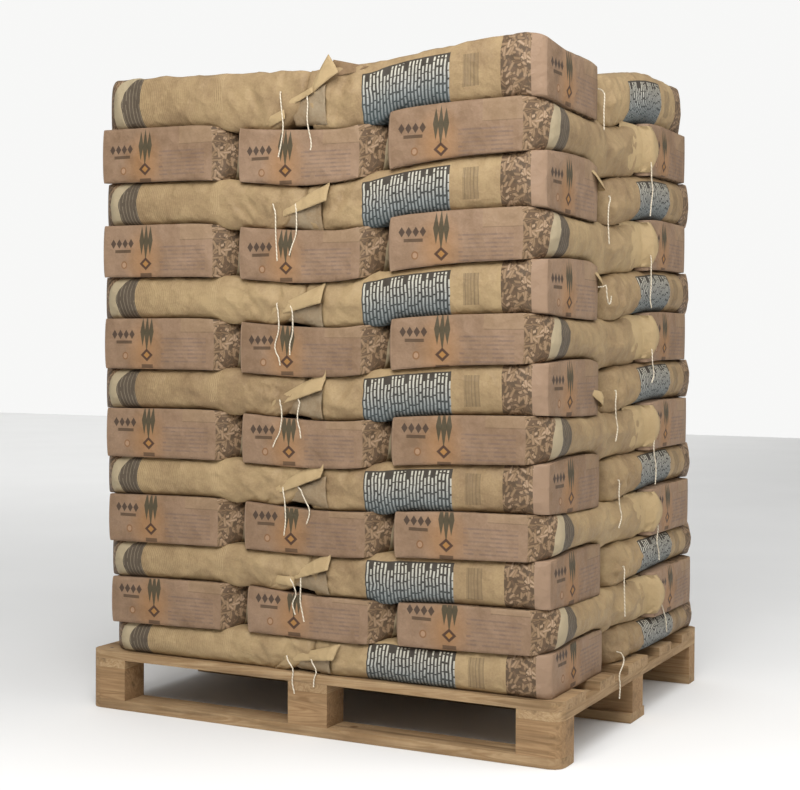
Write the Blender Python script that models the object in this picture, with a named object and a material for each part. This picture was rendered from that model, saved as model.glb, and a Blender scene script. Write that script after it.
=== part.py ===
"""Loaded pallet: filled paper sacks in crosswise layers on a wooden block pallet.

Metres, +Z up. The origin is at the middle of the pallet's underside. +X runs along the pallet's
long side, and the sewn ends of the odd layers' long sacks meet in the middle of the -Y side.
"""
import math

import bmesh
import bpy
from mathutils import Matrix, Vector

CLEARANCE = 0.0003

# Pallet
PALLET_LENGTH = 1.200
PALLET_WIDTH = 1.000
SKID_THICKNESS = 0.022
BLOCK_HEIGHT = 0.076
BOARD_THICKNESS = 0.020
BLOCK_LENGTH = 0.100
BLOCK_WIDTH = 0.076
MIDDLE_SKID_WIDTH = 0.100
CORNER_RADIUS = 0.028
CORNER_STEPS = 3
DECK_BOARD_WIDTHS = (0.145, 0.098, 0.145, 0.098, 0.145)

BLOCK_BASE = SKID_THICKNESS
STRINGER_BASE = BLOCK_BASE + BLOCK_HEIGHT
DECK_BASE = STRINGER_BASE + BOARD_THICKNESS
DECK_TOP = DECK_BASE + BOARD_THICKNESS

# Sacks
LAYER_COUNT = 13
BOTTOM_LAYER_HEIGHT = 0.094
TOP_LAYER_HEIGHT = 0.116
SACK_LENGTH = 0.585
CROSS_SACK_LENGTH = 0.6185
SACK_PITCH = 0.381
SACK_HALF_WIDTH = 0.1915
SACK_SHOULDER = 0.030
BASE_FRONT_WIDTH = 0.174
BASE_REAR_WIDTH = 0.138
BASE_SHOULDER = 0.005
BASE_DEPTH = 0.070
SEAM_HALF_WIDTH = 0.183
SEAM_DEPTH = 0.090
SEAM_TAPER = 0.10
BASE_TAPER = 0.02
SIDE_LOW = 0.32
SIDE_HIGH = 0.68
FLAT_NORMAL = 0.995

# Layers: the odd ones have their two long sacks at the front, the even ones at the back
FRONT_ROW_Y = -0.3050
BACK_ROW_Y = 0.2985
FRONT_CROSS_BASE_Y = -0.4970
BACK_CROSS_BASE_Y = 0.5000
TOP_CROSS_BASE_Y = 0.4645
ODD_ROW_ENDS = (-0.572, 0.557)
EVEN_ROW_ENDS = (-0.545, 0.584)
ODD_DRIFT = -0.014
EVEN_DRIFT = -0.007
MIDDLE_SPREAD = 0.020
BACK_SPREAD = 0.020
BACK_SPREAD_START = -0.120
BACK_SPREAD_RUN = 0.100
ODD_LEAN = -0.0020
EVEN_LEAN = -0.0028

# How far each layer's top lies above or below its even height, in millimetres, because the base
# ends stand thick, the sewn ends lie thin and the stack sinks where they meet. Each row: place,
# odd layers (start, change per layer), even layers (start, change per layer), top of the stack.
SAG_ALONG_X = (
    (-0.620, -31, 0.00, -12, 0.0, 3),
    (-0.280, -23, -1.20, -1, -1.3, -5),
    (-0.165, -18, -2.60, 2, -3.0, -11),
    (-0.020, -17, -4.10, -9, -2.9, -16),
    (0.100, -21, -2.95, -6, -3.6, -15),
    (0.200, -16, -1.40, -14, 0.0, -6),
    (0.340, -15, 0.00, -6, 0.0, 13),
    (0.620, -7, 0.00, -2, 0.0, 31),
)
SAG_ALONG_Y = (
    (-0.520, 4, 0.0, 0, 0.0, -11),
    (-0.350, 15, 0.0, -9, 0.0, -26),
    (-0.190, 16, 0.0, -12, 0.0, -19),
    (-0.130, 6, -1.8, -11, 0.0, -36),
    (-0.020, -3, 0.0, -9, 0.0, -34),
    (0.080, -6, 1.3, -6, 1.8, -14),
    (0.200, -12, 3.2, 0, 2.2, 7),
    (0.520, -17, 4.2, 0, 2.3, 11),
)

# Sewing threads that hang from the sewn ends
THREAD_RADIUS = 0.0015
THREAD_STEP = 0.0085
THREAD_START_GAP = 0.0005
THREAD_START_RUN = 0.0030
THREAD_BAND_LOW = 0.37
THREAD_BAND_HIGH = 0.63
THREAD_BEND = ((0.45, 0.10), (0.90, 0.50))
ROUTE_FINENESS = 24
THREAD_HANG_GAP = 0.0045

# Each thread: layer, then its points from the seam down, as (place along the wall, height)
FRONT_THREADS = {
    "left_13": (13, ((-0.077, 1.430), (-0.072, 1.388), (-0.068, 1.349), (-0.073, 1.314), (-0.080, 1.284))),
    "right_13": (13, ((-0.009, 1.430), (-0.005, 1.395), (-0.006, 1.358), (0.004, 1.312), (0.002, 1.295))),
    "left_11": (11, ((-0.096, 1.190), (-0.087, 1.160), (-0.086, 1.118), (-0.084, 1.085), (-0.082, 1.054))),
    "right_11": (11, ((-0.038, 1.190), (-0.033, 1.162), (-0.033, 1.116), (-0.043, 1.088), (-0.051, 1.066))),
    "left_09": (9, ((-0.084, 0.960), (-0.079, 0.940), (-0.077, 0.902), (-0.087, 0.863), (-0.076, 0.837),
                    (-0.073, 0.822))),
    "right_09": (9, ((-0.050, 0.960), (-0.042, 0.940), (-0.041, 0.896), (-0.048, 0.870), (-0.048, 0.845))),
    "left_07": (7, ((-0.075, 0.745), (-0.070, 0.730), (-0.068, 0.705), (-0.074, 0.672), (-0.084, 0.655),
                    (-0.091, 0.639))),
    "right_07": (7, ((-0.030, 0.750), (-0.022, 0.742), (-0.027, 0.718), (-0.027, 0.699), (-0.021, 0.679),
                     (-0.019, 0.661))),
    "left_05": (5, ((-0.066, 0.550), (-0.060, 0.524), (-0.057, 0.480), (-0.061, 0.443))),
    "right_05": (5, ((-0.030, 0.555), (-0.018, 0.546), (-0.008, 0.526), (0.003, 0.508), (0.004, 0.492),
                     (-0.003, 0.472))),
    "left_03": (3, ((-0.047, 0.350), (-0.037, 0.336), (-0.029, 0.314), (-0.038, 0.292), (-0.031, 0.268))),
    "right_03": (3, ((-0.019, 0.355), (-0.017, 0.335), (-0.018, 0.300), (-0.013, 0.276), (-0.008, 0.254))),
    "left_01": (1, ((-0.054, 0.173), (-0.034, 0.145), (-0.036, 0.118), (-0.030, 0.092))),
    "right_01": (1, ((0.008, 0.175), (0.018, 0.162), (0.026, 0.146), (0.020, 0.131), (0.019, 0.112))),
}
SIDE_THREADS = {
    "13": (13, ((-0.159, 1.444), (-0.165, 1.422), (-0.168, 1.390), (-0.166, 1.350))),
    "12": (12, ((0.129, 1.296), (0.128, 1.270), (0.138, 1.246), (0.128, 1.214), (0.120, 1.182))),
    "11": (11, ((-0.117, 1.208), (-0.136, 1.185), (-0.139, 1.150), (-0.135, 1.122), (-0.130, 1.099))),
    "10": (10, ((0.129, 1.082), (0.122, 1.052), (0.124, 1.017), (0.118, 0.985), (0.129, 0.963))),
    "09": (9, ((-0.165, 1.028), (-0.158, 1.005), (-0.154, 0.985), (-0.143, 0.966), (-0.128, 0.968),
               (-0.124, 0.983))),
    "08": (8, ((0.129, 0.862), (0.130, 0.831), (0.142, 0.804), (0.126, 0.784))),
    "07": (7, ((-0.094, 0.769), (-0.103, 0.742), (-0.098, 0.709), (-0.086, 0.682), (-0.099, 0.654))),
    "06": (6, ((0.143, 0.652), (0.134, 0.623), (0.150, 0.590), (0.154, 0.565), (0.149, 0.538))),
    "05": (5, ((-0.084, 0.564), (-0.093, 0.538), (-0.088, 0.508), (-0.073, 0.480), (-0.092, 0.456))),
    "04": (4, ((0.153, 0.455), (0.160, 0.428), (0.152, 0.399), (0.168, 0.374), (0.171, 0.352))),
    "03": (3, ((-0.068, 0.365), (-0.075, 0.338), (-0.071, 0.296), (-0.067, 0.250))),
    "02": (2, ((0.163, 0.258), (0.190, 0.230), (0.212, 0.203), (0.222, 0.169))),
    "01": (1, ((-0.100, 0.174), (-0.124, 0.150), (-0.148, 0.132), (-0.142, 0.108), (-0.146, 0.078))),
}


def clear_scene():
    for item in list(bpy.data.objects):
        bpy.data.objects.remove(item, do_unlink=True)


def make_material(name, colour, roughness):
    material = bpy.data.materials.new(name)
    material.use_nodes = True
    shader = material.node_tree.nodes["Principled BSDF"]
    shader.inputs["Base Color"].default_value = (*colour, 1.0)
    shader.inputs["Roughness"].default_value = roughness
    shader.inputs["Metallic"].default_value = 0.0
    material.diffuse_color = (*colour, 1.0)
    return material


def add_object(name, data, material):
    item = bpy.data.objects.new(name, data)
    bpy.context.collection.objects.link(item)
    data.materials.clear()
    data.materials.append(material)
    return item


def mesh_object(name, bm, material):
    bmesh.ops.recalc_face_normals(bm, faces=bm.faces)
    mesh = bpy.data.meshes.new(name)
    bm.to_mesh(mesh)
    bm.free()
    return add_object(name, mesh, material)


# Pallet: skids, blocks, stringers and deck boards

def round_corner(corner, inward_x, inward_y):
    """Arc points at one outer corner of the pallet, anticlockwise seen from above."""
    centre_x = corner[0] + inward_x * CORNER_RADIUS
    centre_y = corner[1] + inward_y * CORNER_RADIUS
    start = math.atan2(-inward_y, -inward_x) - math.pi / 4
    steps = [start + step * math.pi / (2 * CORNER_STEPS) for step in range(CORNER_STEPS + 1)]
    return [(centre_x + CORNER_RADIUS * math.cos(angle), centre_y + CORNER_RADIUS * math.sin(angle))
            for angle in steps]


def plan_outline(x_low, x_high, y_low, y_high):
    """Rectangle seen from above, rounded where it has an outer corner of the pallet."""
    outline = []
    for x, y, inward_x, inward_y in ((x_low, y_low, 1, 1), (x_high, y_low, -1, 1),
                                     (x_high, y_high, -1, -1), (x_low, y_high, 1, -1)):
        at_end = math.isclose(abs(x), PALLET_LENGTH / 2)
        at_side = math.isclose(abs(y), PALLET_WIDTH / 2)
        outline += round_corner((x, y), inward_x, inward_y) if at_end and at_side else [(x, y)]
    return outline


def timber(name, x_range, y_range, base, thickness, material):
    """One sawn piece of the pallet, a clearance above whatever is under it."""
    low = base + CLEARANCE if base > 0 else base
    bm = bmesh.new()
    lower = [bm.verts.new((x, y, low)) for x, y in plan_outline(*x_range, *y_range)]
    face = bm.faces.new(lower)
    raised = bmesh.ops.extrude_face_region(bm, geom=[face])["geom"]
    top = [item for item in raised if isinstance(item, bmesh.types.BMVert)]
    bmesh.ops.translate(bm, verts=top, vec=(0, 0, base + thickness - low))
    return mesh_object(name, bm, material)


def lanes(span, width):
    """Three equal lanes across a span: at each edge and in the middle."""
    edge = span / 2
    return ((-edge, -edge + width), (-width / 2, width / 2), (edge - width, edge))


def build_pallet(board_wood, block_wood):
    ends = (-PALLET_LENGTH / 2, PALLET_LENGTH / 2)
    sides = (-PALLET_WIDTH / 2, PALLET_WIDTH / 2)
    rows = dict(zip(("front", "middle", "back"), lanes(PALLET_WIDTH, BLOCK_WIDTH)))
    columns = dict(zip(("left", "middle", "right"), lanes(PALLET_LENGTH, BLOCK_LENGTH)))
    for row, y_range in rows.items():
        middle_skid = (-MIDDLE_SKID_WIDTH / 2, MIDDLE_SKID_WIDTH / 2)
        skid_range = middle_skid if row == "middle" else y_range
        timber(f"skid_{row}", ends, skid_range, 0, SKID_THICKNESS, board_wood)
        for column, x_range in columns.items():
            timber(f"block_{row}_{column}", x_range, y_range, BLOCK_BASE, BLOCK_HEIGHT, block_wood)
    for column, x_range in columns.items():
        timber(f"stringer_{column}", x_range, sides, STRINGER_BASE, BOARD_THICKNESS, board_wood)
    gap = (PALLET_WIDTH - sum(DECK_BOARD_WIDTHS)) / (len(DECK_BOARD_WIDTHS) - 1)
    y_low = -PALLET_WIDTH / 2
    for number, width in enumerate(DECK_BOARD_WIDTHS, 1):
        y_high = y_low + width
        timber(f"deck_board_{number}", ends, (y_low, y_high), DECK_BASE, BOARD_THICKNESS, board_wood)
        y_low = y_high + gap


# Sacks: one solid for each layer, with the gaps between its five sacks cut into its faces

def layer_base(layer):
    """Height of a layer's underside: the layers get lower towards the bottom of the stack."""
    rise = (TOP_LAYER_HEIGHT - BOTTOM_LAYER_HEIGHT) / (LAYER_COUNT - 1)
    below = layer - 1
    return DECK_TOP + below * BOTTOM_LAYER_HEIGHT + rise * below * (below - 1) / 2


def middle_share(layer):
    """1 at the middle layer, falling to 0 at the top and bottom layers."""
    half = (LAYER_COUNT - 1) / 2
    return 1 - ((layer - 1 - half) / half) ** 2


def row_sag(row, boundary):
    """One table row's height change at the top of layer number boundary, in metres."""
    _, odd_start, odd_step, even_start, even_step, top = row
    if boundary == 0:
        return 0.0
    if boundary == LAYER_COUNT:
        return top / 1000
    if boundary % 2:
        return (odd_start + odd_step * boundary) / 1000
    return (even_start + even_step * boundary) / 1000


def table_sag(table, place, boundary):
    """Height change at a place, on straight lines between the table's rows."""
    for near, far in zip(table, table[1:]):
        if place <= far[0]:
            share = (place - near[0]) / (far[0] - near[0])
            return row_sag(near, boundary) * (1 - share) + row_sag(far, boundary) * share
    return row_sag(table[-1], boundary)


def surface(boundary, x, y):
    """Height of the top of layer number boundary at one place; 0 is the deck under the bottom layer."""
    sag = table_sag(SAG_ALONG_X, x, boundary) + table_sag(SAG_ALONG_Y, y, boundary)
    return layer_base(boundary + 1) + sag


def sack_rings(length):
    """Cross-sections from the flat base to the sewn end: distance, both widths, shoulder, taper."""
    return ((0.0, BASE_FRONT_WIDTH, BASE_REAR_WIDTH, BASE_SHOULDER, BASE_TAPER),
            (BASE_DEPTH, SACK_HALF_WIDTH, SACK_HALF_WIDTH, SACK_SHOULDER, 0.0),
            (length - SEAM_DEPTH, SACK_HALF_WIDTH, SACK_HALF_WIDTH, SACK_SHOULDER, 0.0),
            (length, SEAM_HALF_WIDTH, SEAM_HALF_WIDTH, SACK_SHOULDER, SEAM_TAPER))


def add_sack(bm, sack, low, high):
    """Add one sack: the middle of its flat base, the heading to its sewn end, and its length."""
    base_centre, heading, length = sack
    height = high - low
    across = Matrix.Rotation(heading, 4, "Z")
    rings = []
    for distance, front, rear, shoulder, taper in sack_rings(length):
        heights = (low + taper * height, low + SIDE_LOW * height, low + SIDE_HIGH * height,
                   high - taper * height)
        outline = [(front - shoulder, heights[0]), (front, heights[1]), (front, heights[2]),
                   (front - shoulder, heights[3]), (shoulder - rear, heights[3]), (-rear, heights[2]),
                   (-rear, heights[1]), (shoulder - rear, heights[0])]
        ring = []
        for side, z in outline:
            spot = across @ Vector((distance, side, 0))
            ring.append(bm.verts.new((base_centre[0] + spot.x, base_centre[1] + spot.y, z)))
        rings.append(ring)
    for near, far in zip(rings, rings[1:]):
        for index in range(len(near)):
            following = (index + 1) % len(near)
            bm.faces.new((near[index], near[following], far[following], far[index]))
    bm.faces.new(rings[0])
    bm.faces.new(rings[-1])


def sack_places(layer):
    """Base centre, heading and length of the layer's left, right, and three cross sacks."""
    odd = layer % 2 == 1
    row_ends = ODD_ROW_ENDS if odd else EVEN_ROW_ENDS
    row_y = FRONT_ROW_Y if odd else BACK_ROW_Y
    cross_y = BACK_CROSS_BASE_Y if odd else FRONT_CROSS_BASE_Y
    cross_length = CROSS_SACK_LENGTH
    if layer == LAYER_COUNT:
        cross_y = TOP_CROSS_BASE_Y
        cross_length = SACK_LENGTH
    cross_heading = -math.pi / 2 if odd else math.pi / 2
    left = ((row_ends[0], row_y), 0, SACK_LENGTH)
    right = ((row_ends[1], row_y), math.pi, SACK_LENGTH)
    crosses = [((step * SACK_PITCH, cross_y), cross_heading, cross_length) for step in (-1, 0, 1)]
    return left, right, crosses


def settle(layer, x, y):
    """Move a place along X with its layer: the stack leans, and is widest at mid-height and back."""
    share = middle_share(layer)
    above_middle = layer - (LAYER_COUNT + 1) / 2
    if layer % 2 == 0:
        return x + EVEN_DRIFT * share + EVEN_LEAN * above_middle
    spread = 0
    if layer < LAYER_COUNT:
        back_share = min(max((y - BACK_SPREAD_START) / BACK_SPREAD_RUN, 0), 1)
        spread = MIDDLE_SPREAD * share + BACK_SPREAD * back_share
    return x * (1 + spread) + ODD_DRIFT * share + ODD_LEAN * above_middle


def unite(item, other):
    """Join two overlapping solids into one body."""
    joint = item.modifiers.new("join", "BOOLEAN")
    joint.operation = "UNION"
    joint.solver = "EXACT"
    joint.object = other
    bpy.context.view_layer.update()
    evaluated = item.evaluated_get(bpy.context.evaluated_depsgraph_get())
    mesh = bpy.data.meshes.new_from_object(evaluated)
    item.modifiers.remove(joint)
    item.data = mesh
    bpy.data.objects.remove(other, do_unlink=True)


def cut_at_sag_lines(bm):
    """Split the faces along the tables' places, so that each stays flat when the layer sags."""
    for axis, table in ((0, SAG_ALONG_X), (1, SAG_ALONG_Y)):
        for row in table[1:-1]:
            spot = Vector((0, 0, 0))
            spot[axis] = row[0]
            normal = Vector((0, 0, 0))
            normal[axis] = 1
            geometry = [*bm.verts, *bm.edges, *bm.faces]
            bmesh.ops.bisect_plane(bm, geom=geometry, plane_co=spot, plane_no=normal)


def let_sag(item, layer, low, high):
    """Bend a flat layer to the heights that the tables give for its underside and its top."""
    bm = bmesh.new()
    bm.from_mesh(item.data)
    cut_at_sag_lines(bm)
    for vertex in bm.verts:
        x, y, z = vertex.co
        share = (z - low) / (high - low)
        underside = surface(layer - 1, x, y) + CLEARANCE
        vertex.co.z = underside * (1 - share) + surface(layer, x, y) * share
    slanted = [face for face in bm.faces if abs(face.normal.z) < FLAT_NORMAL]
    bmesh.ops.triangulate(bm, faces=slanted)
    bmesh.ops.recalc_face_normals(bm, faces=bm.faces)
    bm.to_mesh(item.data)
    bm.free()


def build_layer(layer, paper):
    low = layer_base(layer) + CLEARANCE
    high = layer_base(layer + 1)
    left, right, crosses = sack_places(layer)
    name = f"sack_layer_{layer:02d}"
    groups = ((left, crosses[2]), (right, crosses[0]), (crosses[1],))
    parts = []
    for sacks in groups:
        bm = bmesh.new()
        for sack in sacks:
            add_sack(bm, sack, low, high)
        for vertex in bm.verts:
            vertex.co.x = settle(layer, vertex.co.x, vertex.co.y)
        parts.append(mesh_object(name, bm, paper))
    unite(parts[0], parts[1])
    unite(parts[0], parts[2])
    let_sag(parts[0], layer, low, high)
    parts[0].name = name
    parts[0].data.name = name


# Threads: each leaves a sewn end, bends over and hangs free

def smooth_route(points):
    """Even points along a smooth curve through the route's own points."""
    knots = [points[0] * 2 - points[1], *points, points[-1] * 2 - points[-2]]
    fine = []
    for a, b, c, d in zip(knots, knots[1:], knots[2:], knots[3:]):
        for step in range(ROUTE_FINENESS):
            t = step / ROUTE_FINENESS
            fine.append(0.5 * (2 * b + (c - a) * t + (2 * a - 5 * b + 4 * c - d) * t ** 2
                               + (3 * b - a - 3 * c + d) * t ** 3))
    fine.append(points[-1].copy())
    lengths = [0.0]
    for near, far in zip(fine, fine[1:]):
        lengths.append(lengths[-1] + (far - near).length)
    count = max(2, round(lengths[-1] / THREAD_STEP))
    even = []
    index = 0
    for step in range(count + 1):
        target = lengths[-1] * step / count
        while index < len(fine) - 2 and lengths[index + 1] < target:
            index += 1
        share = (target - lengths[index]) / (lengths[index + 1] - lengths[index])
        even.append(fine[index].lerp(fine[index + 1], min(share, 1.0)))
    return even


def hang_route(spots, place, start_depth, depth):
    """Route that leaves the wall straight out at start_depth, then bends and hangs at depth.

    THREAD_BEND gives each point of the bend as shares of the reach outwards and the drop.
    """
    first, second = spots[0], spots[1]
    bend_depth = start_depth + THREAD_START_RUN
    reach = depth - bend_depth
    drop = first[1] - second[1]
    route = [place(first[0], bend_depth, first[1])]
    for out, down in THREAD_BEND:
        along = first[0] + (second[0] - first[0]) * down
        route.append(place(along, bend_depth + out * reach, first[1] - down * drop))
    route += [place(along, depth, z) for along, z in spots[1:]]
    return [place(first[0], start_depth, first[1]), *smooth_route(route)]


def build_thread(name, route, cotton):
    curve = bpy.data.curves.new(name, "CURVE")
    curve.dimensions = "3D"
    curve.bevel_depth = THREAD_RADIUS
    curve.bevel_resolution = 2
    curve.use_fill_caps = True
    spline = curve.splines.new("POLY")
    spline.points.add(len(route) - 1)
    for point, spot in zip(spline.points, route):
        point.co = (*spot, 1.0)
    add_object(name, curve, cotton)


def sack_plan(layer, sack):
    """Outline of one sack seen from above."""
    base_centre, heading, length = sack
    rings = sack_rings(length)
    local = [(distance, front) for distance, front, *_ in rings]
    local += [(distance, -rear) for distance, _, rear, *_ in reversed(rings)]
    turn = Matrix.Rotation(heading, 2)
    spots = [turn @ Vector(point) + Vector(base_centre) for point in local]
    return [(settle(layer, spot.x, spot.y), spot.y) for spot in spots]


def wall_depth(layer, along, axis, sign):
    """How far the layer's sacks reach outwards at one place along a wall of the stack."""
    left, right, crosses = sack_places(layer)
    reach = []
    for sack in (left, right, *crosses):
        outline = sack_plan(layer, sack)
        for near, far in zip(outline, outline[1:] + outline[:1]):
            low, high = sorted((near[1 - axis], far[1 - axis]))
            if low < along < high:
                share = (along - near[1 - axis]) / (far[1 - axis] - near[1 - axis])
                reach.append(sign * (near[axis] + share * (far[axis] - near[axis])))
    return max(reach)


def thread_wall(layer, along, axis, sign):
    """Depth that a thread's whole end clears, also where the wall is aslant."""
    places = (along - THREAD_RADIUS, along, along + THREAD_RADIUS)
    return max(wall_depth(layer, place, axis, sign) for place in places)


def hang_depth(layer, spots, axis, sign, deck_edge):
    """Depth at which a thread hangs clear of its own layer and of what is under that."""
    reach = [wall_depth(layer, along, axis, sign) for along, _ in spots]
    if layer == 1:
        reach.append(deck_edge)
    else:
        reach += [wall_depth(layer - 1, along, axis, sign) for along, _ in spots]
    return max(reach) + THREAD_HANG_GAP


def into_band(layer, spots, wall_x, wall_y):
    """Keep a thread's first point within the upright band of its sack's wall."""
    low = surface(layer - 1, wall_x, wall_y)
    height = surface(layer, wall_x, wall_y) - low
    z = min(max(spots[0][1], low + THREAD_BAND_LOW * height), low + THREAD_BAND_HIGH * height)
    return ((spots[0][0], z), *spots[1:])


def on_front_wall(along, depth, z):
    return Vector((along, -depth, z))


def on_side_wall(along, depth, z):
    return Vector((depth, along, z))


def build_threads(cotton):
    for key, (layer, spots) in FRONT_THREADS.items():
        hang = hang_depth(layer, spots, 1, -1, PALLET_WIDTH / 2)
        wall = thread_wall(layer, spots[0][0], 1, -1)
        spots = into_band(layer, spots, spots[0][0], -wall)
        route = hang_route(spots, on_front_wall, wall + THREAD_START_GAP, hang)
        build_thread(f"thread_front_{key}", route, cotton)
    for key, (layer, spots) in SIDE_THREADS.items():
        hang = hang_depth(layer, spots, 0, 1, PALLET_LENGTH / 2)
        wall = thread_wall(layer, spots[0][0], 0, 1)
        spots = into_band(layer, spots, wall, spots[0][0])
        route = hang_route(spots, on_side_wall, wall + THREAD_START_GAP, hang)
        build_thread(f"thread_side_{key}", route, cotton)


def main():
    clear_scene()
    board_wood = make_material("pine_board", (0.56, 0.40, 0.22), 0.75)
    block_wood = make_material("pine_block", (0.50, 0.35, 0.20), 0.80)
    paper = make_material("kraft_paper", (0.42, 0.30, 0.17), 0.70)
    cotton = make_material("cotton_thread", (0.82, 0.78, 0.70), 0.85)
    build_pallet(board_wood, block_wood)
    for layer in range(1, LAYER_COUNT + 1):
        build_layer(layer, paper)
    build_threads(cotton)


main()
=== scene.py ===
"""Dresses the loaded pallet: printed paper sacks in crosswise layers on a pine block pallet."""
import math

import bmesh
import bpy
import numpy as np
from mathutils import Matrix, Vector


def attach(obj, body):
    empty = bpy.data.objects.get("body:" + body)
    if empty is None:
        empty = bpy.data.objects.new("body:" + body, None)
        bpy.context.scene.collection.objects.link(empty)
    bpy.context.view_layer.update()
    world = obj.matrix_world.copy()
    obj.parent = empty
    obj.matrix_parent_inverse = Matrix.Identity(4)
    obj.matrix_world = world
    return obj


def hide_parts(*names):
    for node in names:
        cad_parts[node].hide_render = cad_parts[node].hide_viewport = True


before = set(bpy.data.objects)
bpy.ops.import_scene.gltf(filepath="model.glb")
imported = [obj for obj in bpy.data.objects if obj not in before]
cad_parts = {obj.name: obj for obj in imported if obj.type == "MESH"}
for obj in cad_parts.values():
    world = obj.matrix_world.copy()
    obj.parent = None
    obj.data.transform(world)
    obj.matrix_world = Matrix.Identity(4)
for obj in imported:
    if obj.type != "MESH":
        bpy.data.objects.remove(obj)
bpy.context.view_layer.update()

bl_info = {
    "name": "Loaded pallet of paper sacks",
    "version": (1, 0, 0),
    "blender": (4, 5, 0),
    "location": "3D View > Sidebar > Pallet",
    "description": "Builds filled paper sacks, their threads and a pine pallet on a fixed frame",
    "category": "Add Mesh",
}

SEED = 41

# The stack, with the same sizes as the solids it covers, in metres
LAYER_COUNT = 13
DECK_TOP = 0.138
BOTTOM_LAYER_HEIGHT = 0.094
TOP_LAYER_HEIGHT = 0.116
PALLET_LENGTH = 1.200
PALLET_WIDTH = 1.000
SACK_LENGTH = 0.585
CROSS_SACK_LENGTH = 0.6185
SACK_PITCH = 0.381
SACK_HALF_WIDTH = 0.1915
BASE_FRONT_WIDTH = 0.174
BASE_REAR_WIDTH = 0.138
BASE_DEPTH = 0.070
SEAM_HALF_WIDTH = 0.183
SEAM_DEPTH = 0.090
FRONT_ROW_Y = -0.3050
BACK_ROW_Y = 0.2985
FRONT_CROSS_BASE_Y = -0.4970
BACK_CROSS_BASE_Y = 0.5000
TOP_CROSS_BASE_Y = 0.4645
ODD_ROW_ENDS = (-0.572, 0.557)
EVEN_ROW_ENDS = (-0.545, 0.584)
ODD_DRIFT = -0.014
EVEN_DRIFT = -0.007
MIDDLE_SPREAD = 0.020
BACK_SPREAD = 0.020
BACK_SPREAD_START = -0.120
BACK_SPREAD_RUN = 0.100
ODD_LEAN = -0.0020
EVEN_LEAN = -0.0028

# Millimetres that a layer's top lies above or below its even height. Each row: place, odd layers
# (start, change per layer), even layers (start, change per layer), top of the stack.
SAG_ALONG_X = (
    (-0.620, -31, 0.00, -12, 0.0, 3),
    (-0.280, -23, -1.20, -1, -1.3, -5),
    (-0.165, -18, -2.60, 2, -3.0, -11),
    (-0.020, -17, -4.10, -9, -2.9, -16),
    (0.100, -21, -2.95, -6, -3.6, -15),
    (0.200, -16, -1.40, -14, 0.0, -6),
    (0.340, -15, 0.00, -6, 0.0, 13),
    (0.620, -7, 0.00, -2, 0.0, 31),
)
SAG_ALONG_Y = (
    (-0.520, 4, 0.0, 0, 0.0, -11),
    (-0.350, 15, 0.0, -9, 0.0, -26),
    (-0.190, 16, 0.0, -12, 0.0, -19),
    (-0.130, 6, -1.8, -11, 0.0, -36),
    (-0.020, -3, 0.0, -9, 0.0, -34),
    (0.080, -6, 1.3, -6, 1.8, -14),
    (0.200, -12, 3.2, 0, 2.2, 7),
    (0.520, -17, 4.2, 0, 2.3, 11),
)

# Steps over which paper and pellets ease the bends of the sag, in metres
EASE_STEPS = (-0.045, -0.030, -0.015, 0.0, 0.015, 0.030, 0.045)

# Sewing threads, with the route points of their solids
THREAD_RADIUS = 0.0015
THREAD_STEP = 0.0085
THREAD_START_GAP = 0.0005
THREAD_START_RUN = 0.0030
THREAD_BAND_LOW = 0.37
THREAD_BAND_HIGH = 0.63
THREAD_BEND = ((0.45, 0.10), (0.90, 0.50))
THREAD_HANG_GAP = 0.0045
ROUTE_FINENESS = 24
FRONT_THREADS = {
    "left_13": (13, ((-0.077, 1.430), (-0.072, 1.388), (-0.068, 1.349), (-0.073, 1.314), (-0.080, 1.284))),
    "right_13": (13, ((-0.009, 1.430), (-0.005, 1.395), (-0.006, 1.358), (0.004, 1.312), (0.002, 1.295))),
    "left_11": (11, ((-0.096, 1.190), (-0.087, 1.160), (-0.086, 1.118), (-0.084, 1.085), (-0.082, 1.054))),
    "right_11": (11, ((-0.038, 1.190), (-0.033, 1.162), (-0.033, 1.116), (-0.043, 1.088), (-0.051, 1.066))),
    "left_09": (9, ((-0.084, 0.960), (-0.079, 0.940), (-0.077, 0.902), (-0.087, 0.863), (-0.076, 0.837),
                    (-0.073, 0.822))),
    "right_09": (9, ((-0.050, 0.960), (-0.042, 0.940), (-0.041, 0.896), (-0.048, 0.870), (-0.048, 0.845))),
    "left_07": (7, ((-0.075, 0.745), (-0.070, 0.730), (-0.068, 0.705), (-0.074, 0.672), (-0.084, 0.655),
                    (-0.091, 0.639))),
    "right_07": (7, ((-0.030, 0.750), (-0.022, 0.742), (-0.027, 0.718), (-0.027, 0.699), (-0.021, 0.679),
                     (-0.019, 0.661))),
    "left_05": (5, ((-0.066, 0.550), (-0.060, 0.524), (-0.057, 0.480), (-0.061, 0.443))),
    "right_05": (5, ((-0.030, 0.555), (-0.018, 0.546), (-0.008, 0.526), (0.003, 0.508), (0.004, 0.492),
                     (-0.003, 0.472))),
    "left_03": (3, ((-0.047, 0.350), (-0.037, 0.336), (-0.029, 0.314), (-0.038, 0.292), (-0.031, 0.268))),
    "right_03": (3, ((-0.019, 0.355), (-0.017, 0.335), (-0.018, 0.300), (-0.013, 0.276), (-0.008, 0.254))),
    "left_01": (1, ((-0.054, 0.173), (-0.034, 0.145), (-0.036, 0.118), (-0.030, 0.092))),
    "right_01": (1, ((0.008, 0.175), (0.018, 0.162), (0.026, 0.146), (0.020, 0.131), (0.019, 0.112))),
}
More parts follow.
